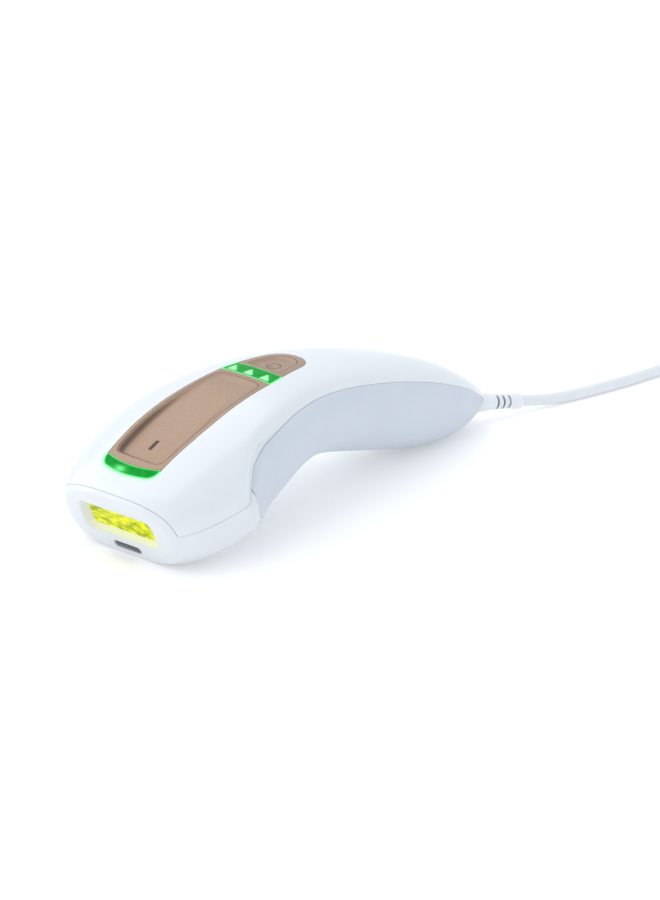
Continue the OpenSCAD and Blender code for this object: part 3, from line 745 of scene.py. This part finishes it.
# Places along the panel's plan: the ready light's lens, then the level lights' lens.
LENS_FRONT, LENS_BACK, BAND_FRONT, BAND_BACK = -33.8, -28.2, 28.4, 35.4
EVERYWHERE = 99
front_arc = arc(0, LENS_FRONT + 40, 40, 40, 258, 282, 60)
panel_raw = convex_hull(np.concatenate([
    front_arc, arc(8.4, LENS_FRONT + 4.9, 4, 4, 0, 360), arc(-8.4, LENS_FRONT + 4.9, 4, 4, 0, 360),
    [[-13.2, -13], [13.2, -13], [13.2, -3], [-13.2, -3]],
    [[-11.3, 26.4], [11.3, 26.4], [11.3, 30.4], [-11.3, 30.4]], arc(0, 45, 8.8, 8.98, 0, 360)]))
PANEL = closed_smooth(panel_raw, 0.4, 1.0)


def lens_back_at(x):
    return np.minimum(LENS_BACK + 38 - np.sqrt(39.6 ** 2 - x * x), LENS_BACK)


def clip(loop, low, high, spacing=0.4, sigma=0.16):
    """The part of a closed line between two lines across it: low and high give v at x."""
    p = closed_smooth(loop, 0.05, 0)
    front = np.where((p[:, 0] >= 0) & (np.roll(p[:, 0], 1) < 0) & (p[:, 1] < 0))[0]
    p = np.roll(p, -int(front[0]), 0)
    top = int(np.where(p[:, 0] >= 0)[0].max()) + 1
    right, left = [half[(half[:, 1] >= low(half[:, 0])) & (half[:, 1] <= high(half[:, 0]))]
                   for half in (p[:top], p[top:])]
    parts = []
    for here, there, cut in ((right, left, high), (left, right, low)):
        parts.append(here)
        if abs(here[-1, 0]) > 0.5:
            x = np.linspace(here[-1, 0], there[0, 0], 80)[1:-1]
            parts.append(np.stack([x, cut(x)], -1))
    return closed_smooth(np.concatenate(parts), spacing, sigma)


def constant(v):
    return lambda x: np.full(np.shape(x), float(v))


def constant_depth(depth):
    return lambda xv: np.full(len(xv), float(depth))


def edge_distance(points, loop):
    """Distance of points from a line of close points, worked out in batches to save memory."""
    batches = np.array_split(points, max(len(points) // 4000, 1))
    return np.concatenate([np.sqrt(((q[:, None] - loop[None]) ** 2).sum(-1)).min(1) for q in batches])


def outside_distance(points, loop):
    return np.where(inside(points, loop), 0, edge_distance(points, loop))


lens_loop = clip(offset(PANEL, -0.06), constant(-EVERYWHERE), lens_back_at, 0.3)
band_loop = clip(offset(PANEL, -0.06), constant(BAND_FRONT), constant(BAND_BACK), 0.3)


# The upper cover is triangulated in a flat map: mm per spine position, and mm from its middle to its seam.
FLAT_U, FLAT_A = 7, 45


def flat(u, angle):
    return np.stack([u * FLAT_U, (angle - 90) / (90 - seam(u)) * FLAT_A], -1)


def from_flat(points):
    u = points[:, 0] / FLAT_U
    return u, 90 + points[:, 1] / FLAT_A * (90 - seam(u))


def outward_of(a, b, c):
    """For each triangle, more than 0 where it faces away from the middle of the hand piece."""
    centre = (a + b + c) / 3
    middle = np.stack([np.zeros(len(a)), centre[:, 1], np.full(len(a), 12.0)], -1)
    return (np.cross(b - a, c - a) * (centre - middle)).sum(-1)


def upper_grid():
    """Spine positions and angles of the upper cover's grid, closer together at its edges."""
    start = BEZEL + 0.009
    u = np.concatenate([[start, start + 0.05, start + 0.14], np.linspace(BEZEL + 0.26, LAST - 0.16, 120),
                        [LAST - 0.06, LAST]])
    near = HEAD + np.array([-0.04, -0.015, -0.004, 0.004, 0.015, 0.04])
    u = with_knots(np.sort(np.concatenate([u[(u < HEAD - 0.1) | (u > HEAD + 0.13)], near])))
    angles = []
    for ui in u:
        lo = seam(ui) + GAP / mm_per_degree(ui, seam(ui))
        step = EDGE / mm_per_degree(ui, seam(ui) + 1)
        angles.append(dense(lo, 180 - lo, 84, step, step))
    angles = np.array(angles)
    return np.broadcast_to(u[:, None], angles.shape), angles


def make_upper_shell():
    grid_u, grid_a = upper_grid()
    rows, cols = grid_u.shape
    hole = offset(PANEL, 0.1)
    loops, edges, extra_u, extra_a = [], [], [], []
    at = 0
    for e in (0, 0.16, 0.4, 0.9, 1.6, 2.5):
        hu, ha = uv_of(offset(hole, e) if e else hole)
        edges += loop_edges(len(hu), at)
        at += len(hu)
        extra_u.append(hu)
        extra_a.append(ha)
        loops.append(flat(hu, ha))
    # the grid gives way to the rows of points round the panel's opening
    points = flat(grid_u.ravel(), grid_a.ravel())
    far = ~inside(points, offset_any(loops[-1], 0.5))
    index = np.full(rows * cols, -1)
    index[far] = np.arange(far.sum())
    number = index.reshape(rows, cols)
    border = [number[0], number[-1], number[:, 0], number[:, -1]]
    edges = ([pair for line in border for pair in zip(line[:-1], line[1:])]
             + [(a + far.sum(), b + far.sum()) for a, b in edges])
    known_u = np.concatenate([grid_u.ravel()[far]] + extra_u)
    known_a = np.concatenate([grid_a.ravel()[far]] + extra_a)
    mapped = points.reshape(rows, cols, 2)
    outer = np.concatenate([mapped[0], mapped[1:, -1], mapped[-1, -2::-1], mapped[-2:0:-1, 0]])
    out, tris, source = triangulate(np.concatenate([points[far]] + loops), edges, outer, [loops[0]])
    new_u, new_a = from_flat(out)
    known = np.maximum(source, 0)
    p = waisted(np.where(source >= 0, known_u[known], new_u), np.where(source >= 0, known_a[known], new_a))
    inward = outward_of(p[tris[:, 0]], p[tris[:, 1]], p[tris[:, 2]]) < 0
    tris = np.where(inward[:, None], tris[:, ::-1], tris)
    # the rounded end of the tail joins the last row
    extra = tail_rows(grid_a[-1])
    verts = np.concatenate([p] + extra)
    faces = [tuple(t) for t in tris]
    before = [int(np.where(source == k)[0][0]) for k in number[-1]]
    for k in range(len(extra)):
        here = [len(p) + k * cols + j for j in range(cols)]
        for j in range(cols - 1):
            faces.append((before[j], here[j], here[j + 1], before[j + 1]))
        before = here
    o = shell("upper_cover", verts, faces, gloss_white.mat, "upper_shell")
    plan = plan_of(verts)
    near = np.minimum(outside_distance(plan, lens_loop), outside_distance(plan, band_loop))
    # painted green glow, fading within a mm or two round the lights' lenses, on the top only
    add_values(o, "painted_green_glow", 0.5 * np.exp(-(near / 1.1) ** 2) * (verts[:, 2] > 20))


def offset_any(loop, by):
    """Closed line moved to its outside, whichever way it runs."""
    x, y = loop[:, 0], loop[:, 1]
    area = np.sum(x * np.roll(y, -1) - np.roll(x, -1) * y)
    return offset(loop, by if area > 0 else -by)


make_upper_shell()


def grip_angles(u):
    """Angles from one seam down round the underside to the other."""
    top = seam(u) - GAP / mm_per_degree(u, seam(u))
    step = EDGE / mm_per_degree(u, seam(u) - 1)
    return dense(-180 - top, top, 100, step, step)


def make_grip():
    u = with_knots(np.concatenate([[HEAD + 0.004, HEAD + 0.015, HEAD + 0.04],
                                   np.linspace(HEAD + 0.14, LAST - 0.12, 120), [LAST - 0.05, LAST]]))
    rows = [waisted(ui, grip_angles(ui)) for ui in u] + tail_rows(grip_angles(LAST))
    verts = np.concatenate(rows)
    faces = grid_faces(len(rows), len(rows[0]))
    a, b, c = (verts[[q[k] for q in faces]] for k in range(3))
    if outward_of(a, b, c).sum() < 0:
        faces = [q[::-1] for q in faces]
    shell("grip_cover", verts, faces, satin_white.mat, "grip_shell")


make_grip()


# -------- head cover, its window and sensor
FACE_B = skin(0, -90)
FACE_T = skin(0, 90)
FACE_UP = (FACE_T - FACE_B) / np.linalg.norm(FACE_T - FACE_B)
FACE_OUT = np.array([0, -FACE_UP[2], FACE_UP[1]])
WINDOW_Y, SENSOR_Y = 13.4, 3.4         # centres above the foot of the face
SLOT_W, SLOT_H = 12.3, 2.9


def on_face(xy, depth=0.0):
    """Points of the flat face: across it, up it from its foot, and into it."""
    xy = np.asarray(xy, float)
    depth = np.asarray(depth, float).reshape(-1, 1)
    return FACE_B + xy[:, :1] * [1, 0, 0] + xy[:, 1:] * FACE_UP - depth * FACE_OUT


def round_rect(w, h, r, cy=0.0, n=16):
    pts = []
    for sx, sy, a0 in ((1, 1, 0), (-1, 1, 90), (-1, -1, 180), (1, -1, 270)):
        pts.append(arc(sx * (w / 2 - r), cy + sy * (h / 2 - r), r, r, a0, a0 + 90, n))
    return np.concatenate(pts)


def make_head():
    s0 = seam(BEZEL)
    cols = 97
    lower0, upper0 = np.linspace(180 - s0, 360 + s0, cols), np.linspace(s0, 180 - s0, cols)
    ring = np.concatenate([upper0[:-1], lower0[:-1]])
    # rounded front edge, then the sides back to the seam
    n = len(ring)
    side = skin(0.16, ring)
    corner = skin(0.0, ring)
    face_in = skin(0.0, ring, 1.3)
    rows = [face_in]
    for t in np.linspace(0, 1, 7)[1:]:
        rows.append((1 - t) ** 2 * face_in + 2 * t * (1 - t) * corner + t * t * side)
    rows += [skin(u, ring) for u in (0.24, 0.32, 0.38, BEZEL - 0.009)]
    verts = [np.concatenate(rows)]
    faces = grid_faces(len(rows), n, True)
    # lower cover, from the bezel back
    at = len(rows) * n
    u = with_knots(np.concatenate([[BEZEL - 0.009, BEZEL + 0.04, BEZEL + 0.12],
                                   np.linspace(0.7, HEAD - 0.1, 40),
                                   [HEAD - 0.04, HEAD - 0.015, HEAD - 0.004]]))
    low = []
    for k, ui in enumerate(u):
        gap = GAP / mm_per_degree(ui, 10) * float(smooth(k / 3))
        top = seam(ui) - gap
        low.append(waisted(ui, np.linspace(180 - top, 360 + top, cols)))
    low[0] = skin(BEZEL - 0.009, lower0)
    verts.append(np.concatenate(low))
    faces += [tuple(i + at for i in q) for q in grid_faces(len(low), cols)]
    at += len(low) * cols
    # flat face with the window and the sensor slot
    outline = np.stack([face_in[:, 0], (face_in - FACE_B) @ FACE_UP], -1)
    # width, height, corner radius and depth of each line of an opening's funnel
    window = [(round_rect(w, h, r, WINDOW_Y), depth) for w, h, r, depth in (
        (34.8, 14.0, 3.4, 0.0), (34.1, 13.3, 3.1, 0.08), (33.4, 12.7, 2.8, 0.35), (32.4, 11.7, 2.4, 1.1),
        (30.6, 10.0, 1.7, 2.4), (30.1, 9.5, 1.5, 2.75))]
    recess = [(round_rect(SLOT_W + more, SLOT_H + more, r, SENSOR_Y, 10), depth) for more, r, depth in (
        (1.0, 1.9, 0.0), (0.4, 1.6, 0.14), (0.05, 1.45, 0.45), (0.0, 1.4, 1.6))]
    holes = [window[0][0], recess[0][0]]
    points, edges, k = np.concatenate([outline] + holes), [], 0
    for loop in [outline] + holes:
        edges += loop_edges(len(loop), k)
        k += len(loop)
    out, tris, source = triangulate(points, edges, outline, holes)
    verts.append(on_face(out))
    faces += [tuple(int(i) + at for i in t) for t in tris]
    at += len(out)
    for loops in (window, recess):
        m = len(loops[0][0])
        verts.append(np.concatenate([on_face(loop, depth) for loop, depth in loops]))
        faces += [tuple(i + at for i in q) for q in grid_faces(len(loops), m, True)]
        at += len(loops) * m
    v, f = joined(np.concatenate(verts), faces)
    o = shell("head_cover", v, f, gloss_white.mat, "head_base", 1.2, 0.12)
    depth = (FACE_B - v) @ FACE_OUT
    y = (v - FACE_B) @ FACE_UP
    # painted yellow glow on the walls of the window's opening, stronger below the window
    painted_yellow_glow = smooth((depth - 0.1) / 1.6) * (v[:, 1] < -75) * (np.abs(v[:, 0]) < 17.5)
    painted_yellow_glow = painted_yellow_glow * np.where(y < WINDOW_Y - 4.0, 0.85, 0.25) * (y > 6) * (y < 21)
    add_values(o, "painted_yellow_glow", np.clip(painted_yellow_glow, 0, 1))


def joined(verts, faces):
    """One sheet from parts whose edges meet, with all its faces outward."""
    mesh = bpy.data.meshes.new("head_cover")
    mesh.from_pydata([tuple(v * MM) for v in verts], [], [tuple(map(int, f)) for f in faces])
    bm = bmesh.new()
    bm.from_mesh(mesh)
    bmesh.ops.remove_doubles(bm, verts=bm.verts, dist=0.00002)
    bmesh.ops.dissolve_degenerate(bm, dist=0.000005, edges=bm.edges)
    bmesh.ops.recalc_face_normals(bm, faces=bm.faces)
    bm.faces.ensure_lookup_table()
    probe = max(bm.faces, key=lambda f: -f.calc_center_median().z)
    if probe.normal.z > 0:
        bmesh.ops.reverse_faces(bm, faces=bm.faces)
    v = np.array([tuple(x.co / MM) for x in bm.verts])
    bm.verts.index_update()
    f = [tuple(x.index for x in face.verts) for face in bm.faces]
    bm.free()
    bpy.data.meshes.remove(mesh)
    return v, f


make_head()


def make_window():
    """Pane of glass with rounded edges, from its back to its front."""
    w, h = 31.6, 11.0
    rows = (1, 1.5, 4.6), (0.2, 1.8, 4.5), (0, 1.9, 4.2), (0, 1.9, 2.9), (0.3, 1.8, 2.72), (1, 1.5, 2.66)
    verts, faces = loft([on_face(round_rect(w - less, h - less, r, WINDOW_Y), depth)
                         for less, r, depth in rows])
    new_object("filter_pane", verts * MM, faces, filt.mat, replaces=["window_filter"],
               sharp=60)


make_window()


def make_sensor():
    """Bar with a domed front, in the slot below the window."""
    w, h = 11.7, 2.3
    loops = []
    rows = (0.25, 2.8), (0.0, 2.6), (0.0, 0.62), (0.1, 0.42), (0.3, 0.3), (0.62, 0.24), (1.0, 0.22)
    for less, depth in rows:
        loop = round_rect(w - 2 * less, h - 2 * less, max(1.1 - less, 0.12), SENSOR_Y, 10)
        loops.append(on_face(loop, depth))
    verts, faces = loft(loops)
    new_object("sensor_bar", verts * MM, faces, sensor.mat, replaces=["skin_sensor"])


make_sensor()


# -------- control panel
def skin_plate(outline, spacing, rows, depth_top, bottom, round_r, holes=()):
    """Plate under the skin: depth_top gives its top's depth at plan points, bottom its underside's."""
    return plate(outline, spacing, rows, lambda xv, e: on_skin(xv, depth_top(xv) + roll(e, round_r)),
                 lambda xv, e: on_skin(xv, bottom(xv)), holes)


def panel_piece(name, outline, material, body, nodes, depth_top, thick, rows, spacing, holes=(),
                round_r=0.2, marks=None):
    verts, faces, e = skin_plate(outline, spacing, rows, depth_top, constant_depth(thick), round_r, holes)
    o = new_object(name, verts * MM, faces, material, body, nodes, sharp=50)
    if marks:
        add_values(o, *marks(verts, e))
    return o


def lens_rim_and_painted_highlight(verts, e):
    """Bright rim of the lit lens, and a painted highlight: a soft pale patch on it."""
    xv = plan_of(verts)
    painted_highlight = 0.8 * np.exp(-((xv[:, 0] + 3) / 2.2) ** 2 - ((xv[:, 1] + 32.3) / 0.9) ** 2)
    return "edge", np.maximum(np.clip(1 - e / 0.6, 0, 1) ** 1.5, painted_highlight)


LENS_T = 1.5
LENS_ROWS = (0, 0.06, 0.14, 0.25, 0.5, 0.8)
panel_piece("ready_light", lens_loop, green.mat, "hand_piece", ["ready_lens"],
            constant_depth(0), LENS_T, LENS_ROWS, 0.7, marks=lens_rim_and_painted_highlight)


def triangle(x, grow=0.0):
    """One of the level markers, a lopsided triangle."""
    loop = closed_smooth([[x - 1.7, 29.6], [x + 1.7, 29.6], [x - 1.2, 32.8]], 0.16, 0.12)
    return offset(loop, grow) if grow else loop


MARKERS = (-7.4, 0.0, 7.4)
panel_piece("level_light", band_loop, green.mat, "hand_piece", ["level_lens"],
            constant_depth(0), LENS_T, LENS_ROWS[:-1], 0.7, [triangle(x, 0.06) for x in MARKERS],
            marks=lens_rim_and_painted_highlight)


def make_guides():
    """Light guides that end in the three markers, a little proud of the lens."""
    parts = [skin_plate(triangle(x), 0.3, LENS_ROWS[:3], constant_depth(-0.05), constant_depth(3.5), 0.12)[:2]
             for x in MARKERS]
    v, f = merge(*parts)
    new_object("level_marks", v * MM, f, pale.mat, "hand_piece", ["level_guides"], sharp=50)


make_guides()

# Outlines of the two buttons, each the panel's outline moved in and cut across.
FLASH_BACK = 26.2
flash_cut = clip(offset(PANEL, -1.75), constant(LENS_BACK + 1.45), constant(FLASH_BACK), 0.3, 0)
power_cut = clip(offset(PANEL, -2.9), constant(BAND_BACK + 1.3), constant(EVERYWHERE), 0.3, 0)
FLASH, POWER = closed_smooth(flash_cut, 0.35, 2.4), closed_smooth(power_cut, 0.35, 0.7)


def flash_depth(xv):
    """Dished: deep and steep at the front, fading towards the level lights."""
    front = 1 - smooth((xv[:, 1] + 20) / 46)
    width = 2.3 + 1.9 * (1 - front)
    return 0.1 + (0.35 + 1.85 * front) * smooth(edge_distance(xv, FLASH) / width)


def flash_painted_shade(verts, e):
    """Painted shade on the dish's steep wall, on the -x side that faces away from the light, strongest at the
    front.
    """
    xv = plan_of(verts)
    front = 1 - smooth((xv[:, 1] + 14) / 42)
    steep = np.exp(-((edge_distance(xv, FLASH) - 1.1) / 0.8) ** 2)
    left = smooth((2 - xv[:, 0]) / 8)
    return "wall", steep * left * (0.25 + 0.75 * front)


def power_depth(xv):
    """A shallow dish."""
    return 0.1 + 0.7 * smooth(edge_distance(xv, POWER) / 1.8)


PANEL_SEAM, KEY_GAP = 0.07, 0.14
frame_front = clip(offset(PANEL, -0.02), lambda x: lens_back_at(x) + PANEL_SEAM,
                   constant(BAND_FRONT - PANEL_SEAM), 0.35)
frame_back = clip(offset(PANEL, -0.02), constant(BAND_BACK + PANEL_SEAM), constant(EVERYWHERE), 0.35)


def make_frame():
    parts = [skin_plate(outline, 0.8, (0, 0.07, 0.16, 0.3), constant_depth(0), constant_depth(2.4), 0.2,
                        [offset(button, KEY_GAP)])[:2]
             for outline, button in ((frame_front, FLASH), (frame_back, POWER))]
    v, f = merge(*parts)
    new_object("panel_rim", v * MM, f, bronze.mat, "hand_piece", ["panel_frame"], sharp=50)


make_frame()
panel_piece("flash_key_top", FLASH, bronze.mat, "flash_key", ["flash_button"], flash_depth, 3.2,
            (0, 0.06, 0.15, 0.35, 0.6, 0.9, 1.2, 1.6, 2.0, 2.4, 2.8, 3.3, 3.8), 0.7, round_r=0.1,
            marks=flash_painted_shade)
panel_piece("power_key_top", POWER, bronze.mat, "power_key", ["power_button"], power_depth, 2.4,
            (0, 0.06, 0.15, 0.35, 0.6, 0.9, 1.3, 1.7, 2.1), 0.6, round_r=0.1)


def make_mark(name, outlines, body, button_depth):
    """Mark in a darker lacquer, a hair proud of its button."""
    parts = [skin_plate(loop, 0.3, (0, 0.05), lambda xv: button_depth(xv) - 0.03,
                        lambda xv: button_depth(xv) + 0.15, 0.03)[:2] for loop in outlines]
    v, f = merge(*parts)
    o = new_object(name, v * MM, f, bronze_mark.mat, body, sharp=50)


bar_mark = closed_smooth(round_rect(1.6, 4.7, 0.3, 0), 0.12, 0.05) + [-0.5, -17.7]
make_mark("flash_key_mark", [bar_mark], "flash_key", flash_depth)


def power_symbol():
    """Open ring, and a short bar inside it, well away from its gap."""
    centre, outer_r, inner_r, gap = [0.7, 41.4], 2.55, 2.2, 14
    ring = np.concatenate([arc(0, 0, outer_r, outer_r, 0, 360 - gap),
                           arc(0, 0, inner_r, inner_r, 360 - gap, 0)])
    bar = closed_smooth(round_rect(0.36, 1.7, 0.1, 0), 0.08, 0.02) + [0, 0.9]
    c, s = math.cos(math.radians(150)), math.sin(math.radians(150))
    return [closed_smooth(ring, 0.1, 0.03) + centre, bar @ np.array([[c, s], [-s, c]]) + centre]


make_mark("power_key_mark", power_symbol(), "power_key", power_depth)


# -------- tie, plug-in supply
def make_tie():
    """Hook-and-loop strap round the coil."""
    half_w, top = 12.0, PITCH + LAYER + 0.6
    section = np.array([[half_w, 0.55], [half_w + 0.15, 2.6], [10.2, top - 0.5], [9.2, top], [-9.2, top],
                        [-10.2, top - 0.5], [-half_w - 0.15, 2.6], [-half_w, 0.55]])
    loop = closed_smooth(section, 0.5, 0.45)
    outer = offset(loop, 0.62)
    outer[:, 1] = np.maximum(outer[:, 1], 0.02)
    loop[:, 1] = np.maximum(loop[:, 1], 0.5)
    angles = np.radians(np.linspace(173.2, 186.8, 13))
    rings = [np.stack([COIL_X + (COIL_R + profile[:, 0]) * math.cos(a),
                       COIL_Y + (COIL_R + profile[:, 0]) * math.sin(a), profile[:, 1]], -1)
             for profile, way in ((outer, angles), (loop, angles[::-1])) for a in way]
    # the outside, then back along the inside, and round to the first ring again
    n, m = len(loop), len(rings)
    faces = [tuple(q[k] % (m * n) for k in (0, 3, 2, 1)) for q in grid_faces(m + 1, n, True)]
    new_object("strap", np.concatenate(rings) * MM, faces, strap.mat, replaces=["cord_tie"],
               sharp=50)


make_tie()

# Middle of the supply's near side, its length and width.
AX, AY, AL, AW = 2.0, 326.0, 58.0, 38.0


def box_loop(w, l, r, z, along=AL / 2):
    """Rounded rectangle at a height, its centre that far along the supply."""
    loop = round_rect(w, l, r, 0, 14) + [AX, AY + along]
    return np.concatenate([loop, np.full((len(loop), 1), z)], -1)


def box(*rows):
    """Solid from rows of how much smaller it is than the case, its corner radius and its height."""
    return loft([box_loop(AW - less, AL - less, r, z) for less, r, z in rows])


def make_adapter():
    """Plug-in supply: a base with the cord's gland, and a lid with a raised nose for the pins."""
    base = box((7, 3.0, 0), (3.2, 4.2, 0.35), (1.2, 4.7, 1.3), (0.2, 5.0, 3.2), (0, 5, 5), (0, 5, 16.6),
               (0.3, 4.9, 16.9), (1.4, 4.4, 17.0))
    profile = ((0, 2.4), (0.6, 2.75), (1.6, 2.85), (2.0, 2.5), (2.6, 2.5), (3.0, 3.1), (3.6, 3.1), (4.0, 2.7),
               (4.6, 2.7), (5.0, 3.4), (6.2, 3.6), (7.2, 3.9), (8.5, 4.0))
    phi = np.linspace(0, 2 * np.pi, 48, endpoint=False)
    gland = [ENTRY + np.stack([r * np.cos(phi), np.full(48, at), r * np.sin(phi)], -1) for at, r in profile]
    v, f = merge(base, loft(gland, flip=True))
    new_object("supply_base", v * MM, f, adapter_white.mat, replaces=["adapter_case"],
               sharp=40)
    lid = box((1.4, 4.4, 17.2), (0.3, 4.9, 17.3), (0, 5, 17.6), (0, 5, 22.2), (0.4, 5, 23.8),
              (1.8, 4.7, 25.2), (4, 4.2, 25.85), (6, 3.8, 26))
    nose_w, nose_l, nose_at = 32, 15, 34
    nose = loft([box_loop(nose_w - less, nose_l - less, r, z, nose_at) for less, r, z in (
        (0, 6.5, 25.9), (0.6, 6.4, 26.3), (1, 6.3, 28.1), (1.6, 6.2, 28.65), (3, 5.9, 28.9))])
    v, f = merge(lid, nose)
    new_object("supply_lid", v * MM, f, adapter_white.mat, replaces=["adapter_cover"],
               sharp=40)


make_adapter()


# -------- stage
def make_stage():
    """White floor, an even pale sky, and three soft lamps aimed at the hand piece."""
    mesh = bpy.data.meshes.new("floor")
    half, z = 14.0, -0.00005
    corners = [(-half, -half, z), (half, -half, z), (half, half, z), (-half, half, z)]
    mesh.from_pydata(corners, [], [(0, 1, 2, 3)])
    floor = bpy.data.objects.new("floor", mesh)
    scene.collection.objects.link(floor)
    m = Shader("floor", (0.8, 0.8, 0.805), 0.65)
    m.paint(m.cloudy(6, 3.0, (0.3, 0.7), (0.79, 0.79, 0.795), (0.81, 0.81, 0.812)))
    m.glow((1.0, 1.0, 1.0), 0.24)
    mesh.materials.append(m.mat)
    world = bpy.data.worlds.new("studio")
    scene.world = world
    world.use_nodes = True
    bg = world.node_tree.nodes["Background"]
    bg.inputs["Color"].default_value = (0.93, 0.965, 1.0, 1)
    bg.inputs["Strength"].default_value = 1.0

    def area(name, at, size, power, color=(1, 1, 1)):
        data = bpy.data.lights.new(name, "AREA")
        data.shape = "RECTANGLE"
        data.size, data.size_y = size
        data.energy = power
        data.color = color
        o = bpy.data.objects.new(name, data)
        scene.collection.objects.link(o)
        o.location = at
        o.rotation_mode = "QUATERNION"
        o.rotation_quaternion = (Vector((0, 0, 0.02)) - Vector(at)).to_track_quat("-Z", "Y")

    area("top", (-0.45, 0.0, 1.0), (1.3, 1.3), 4.0)
    area("left", (-1.0, -0.5, 0.5), (0.9, 0.7), 2.4)
    area("front", (0.3, -1.2, 0.3), (0.8, 0.4), 0.5)


make_stage()
scene.view_settings.view_transform = "Standard"
scene.view_settings.look = "None"
scene.view_settings.exposure = 0.0
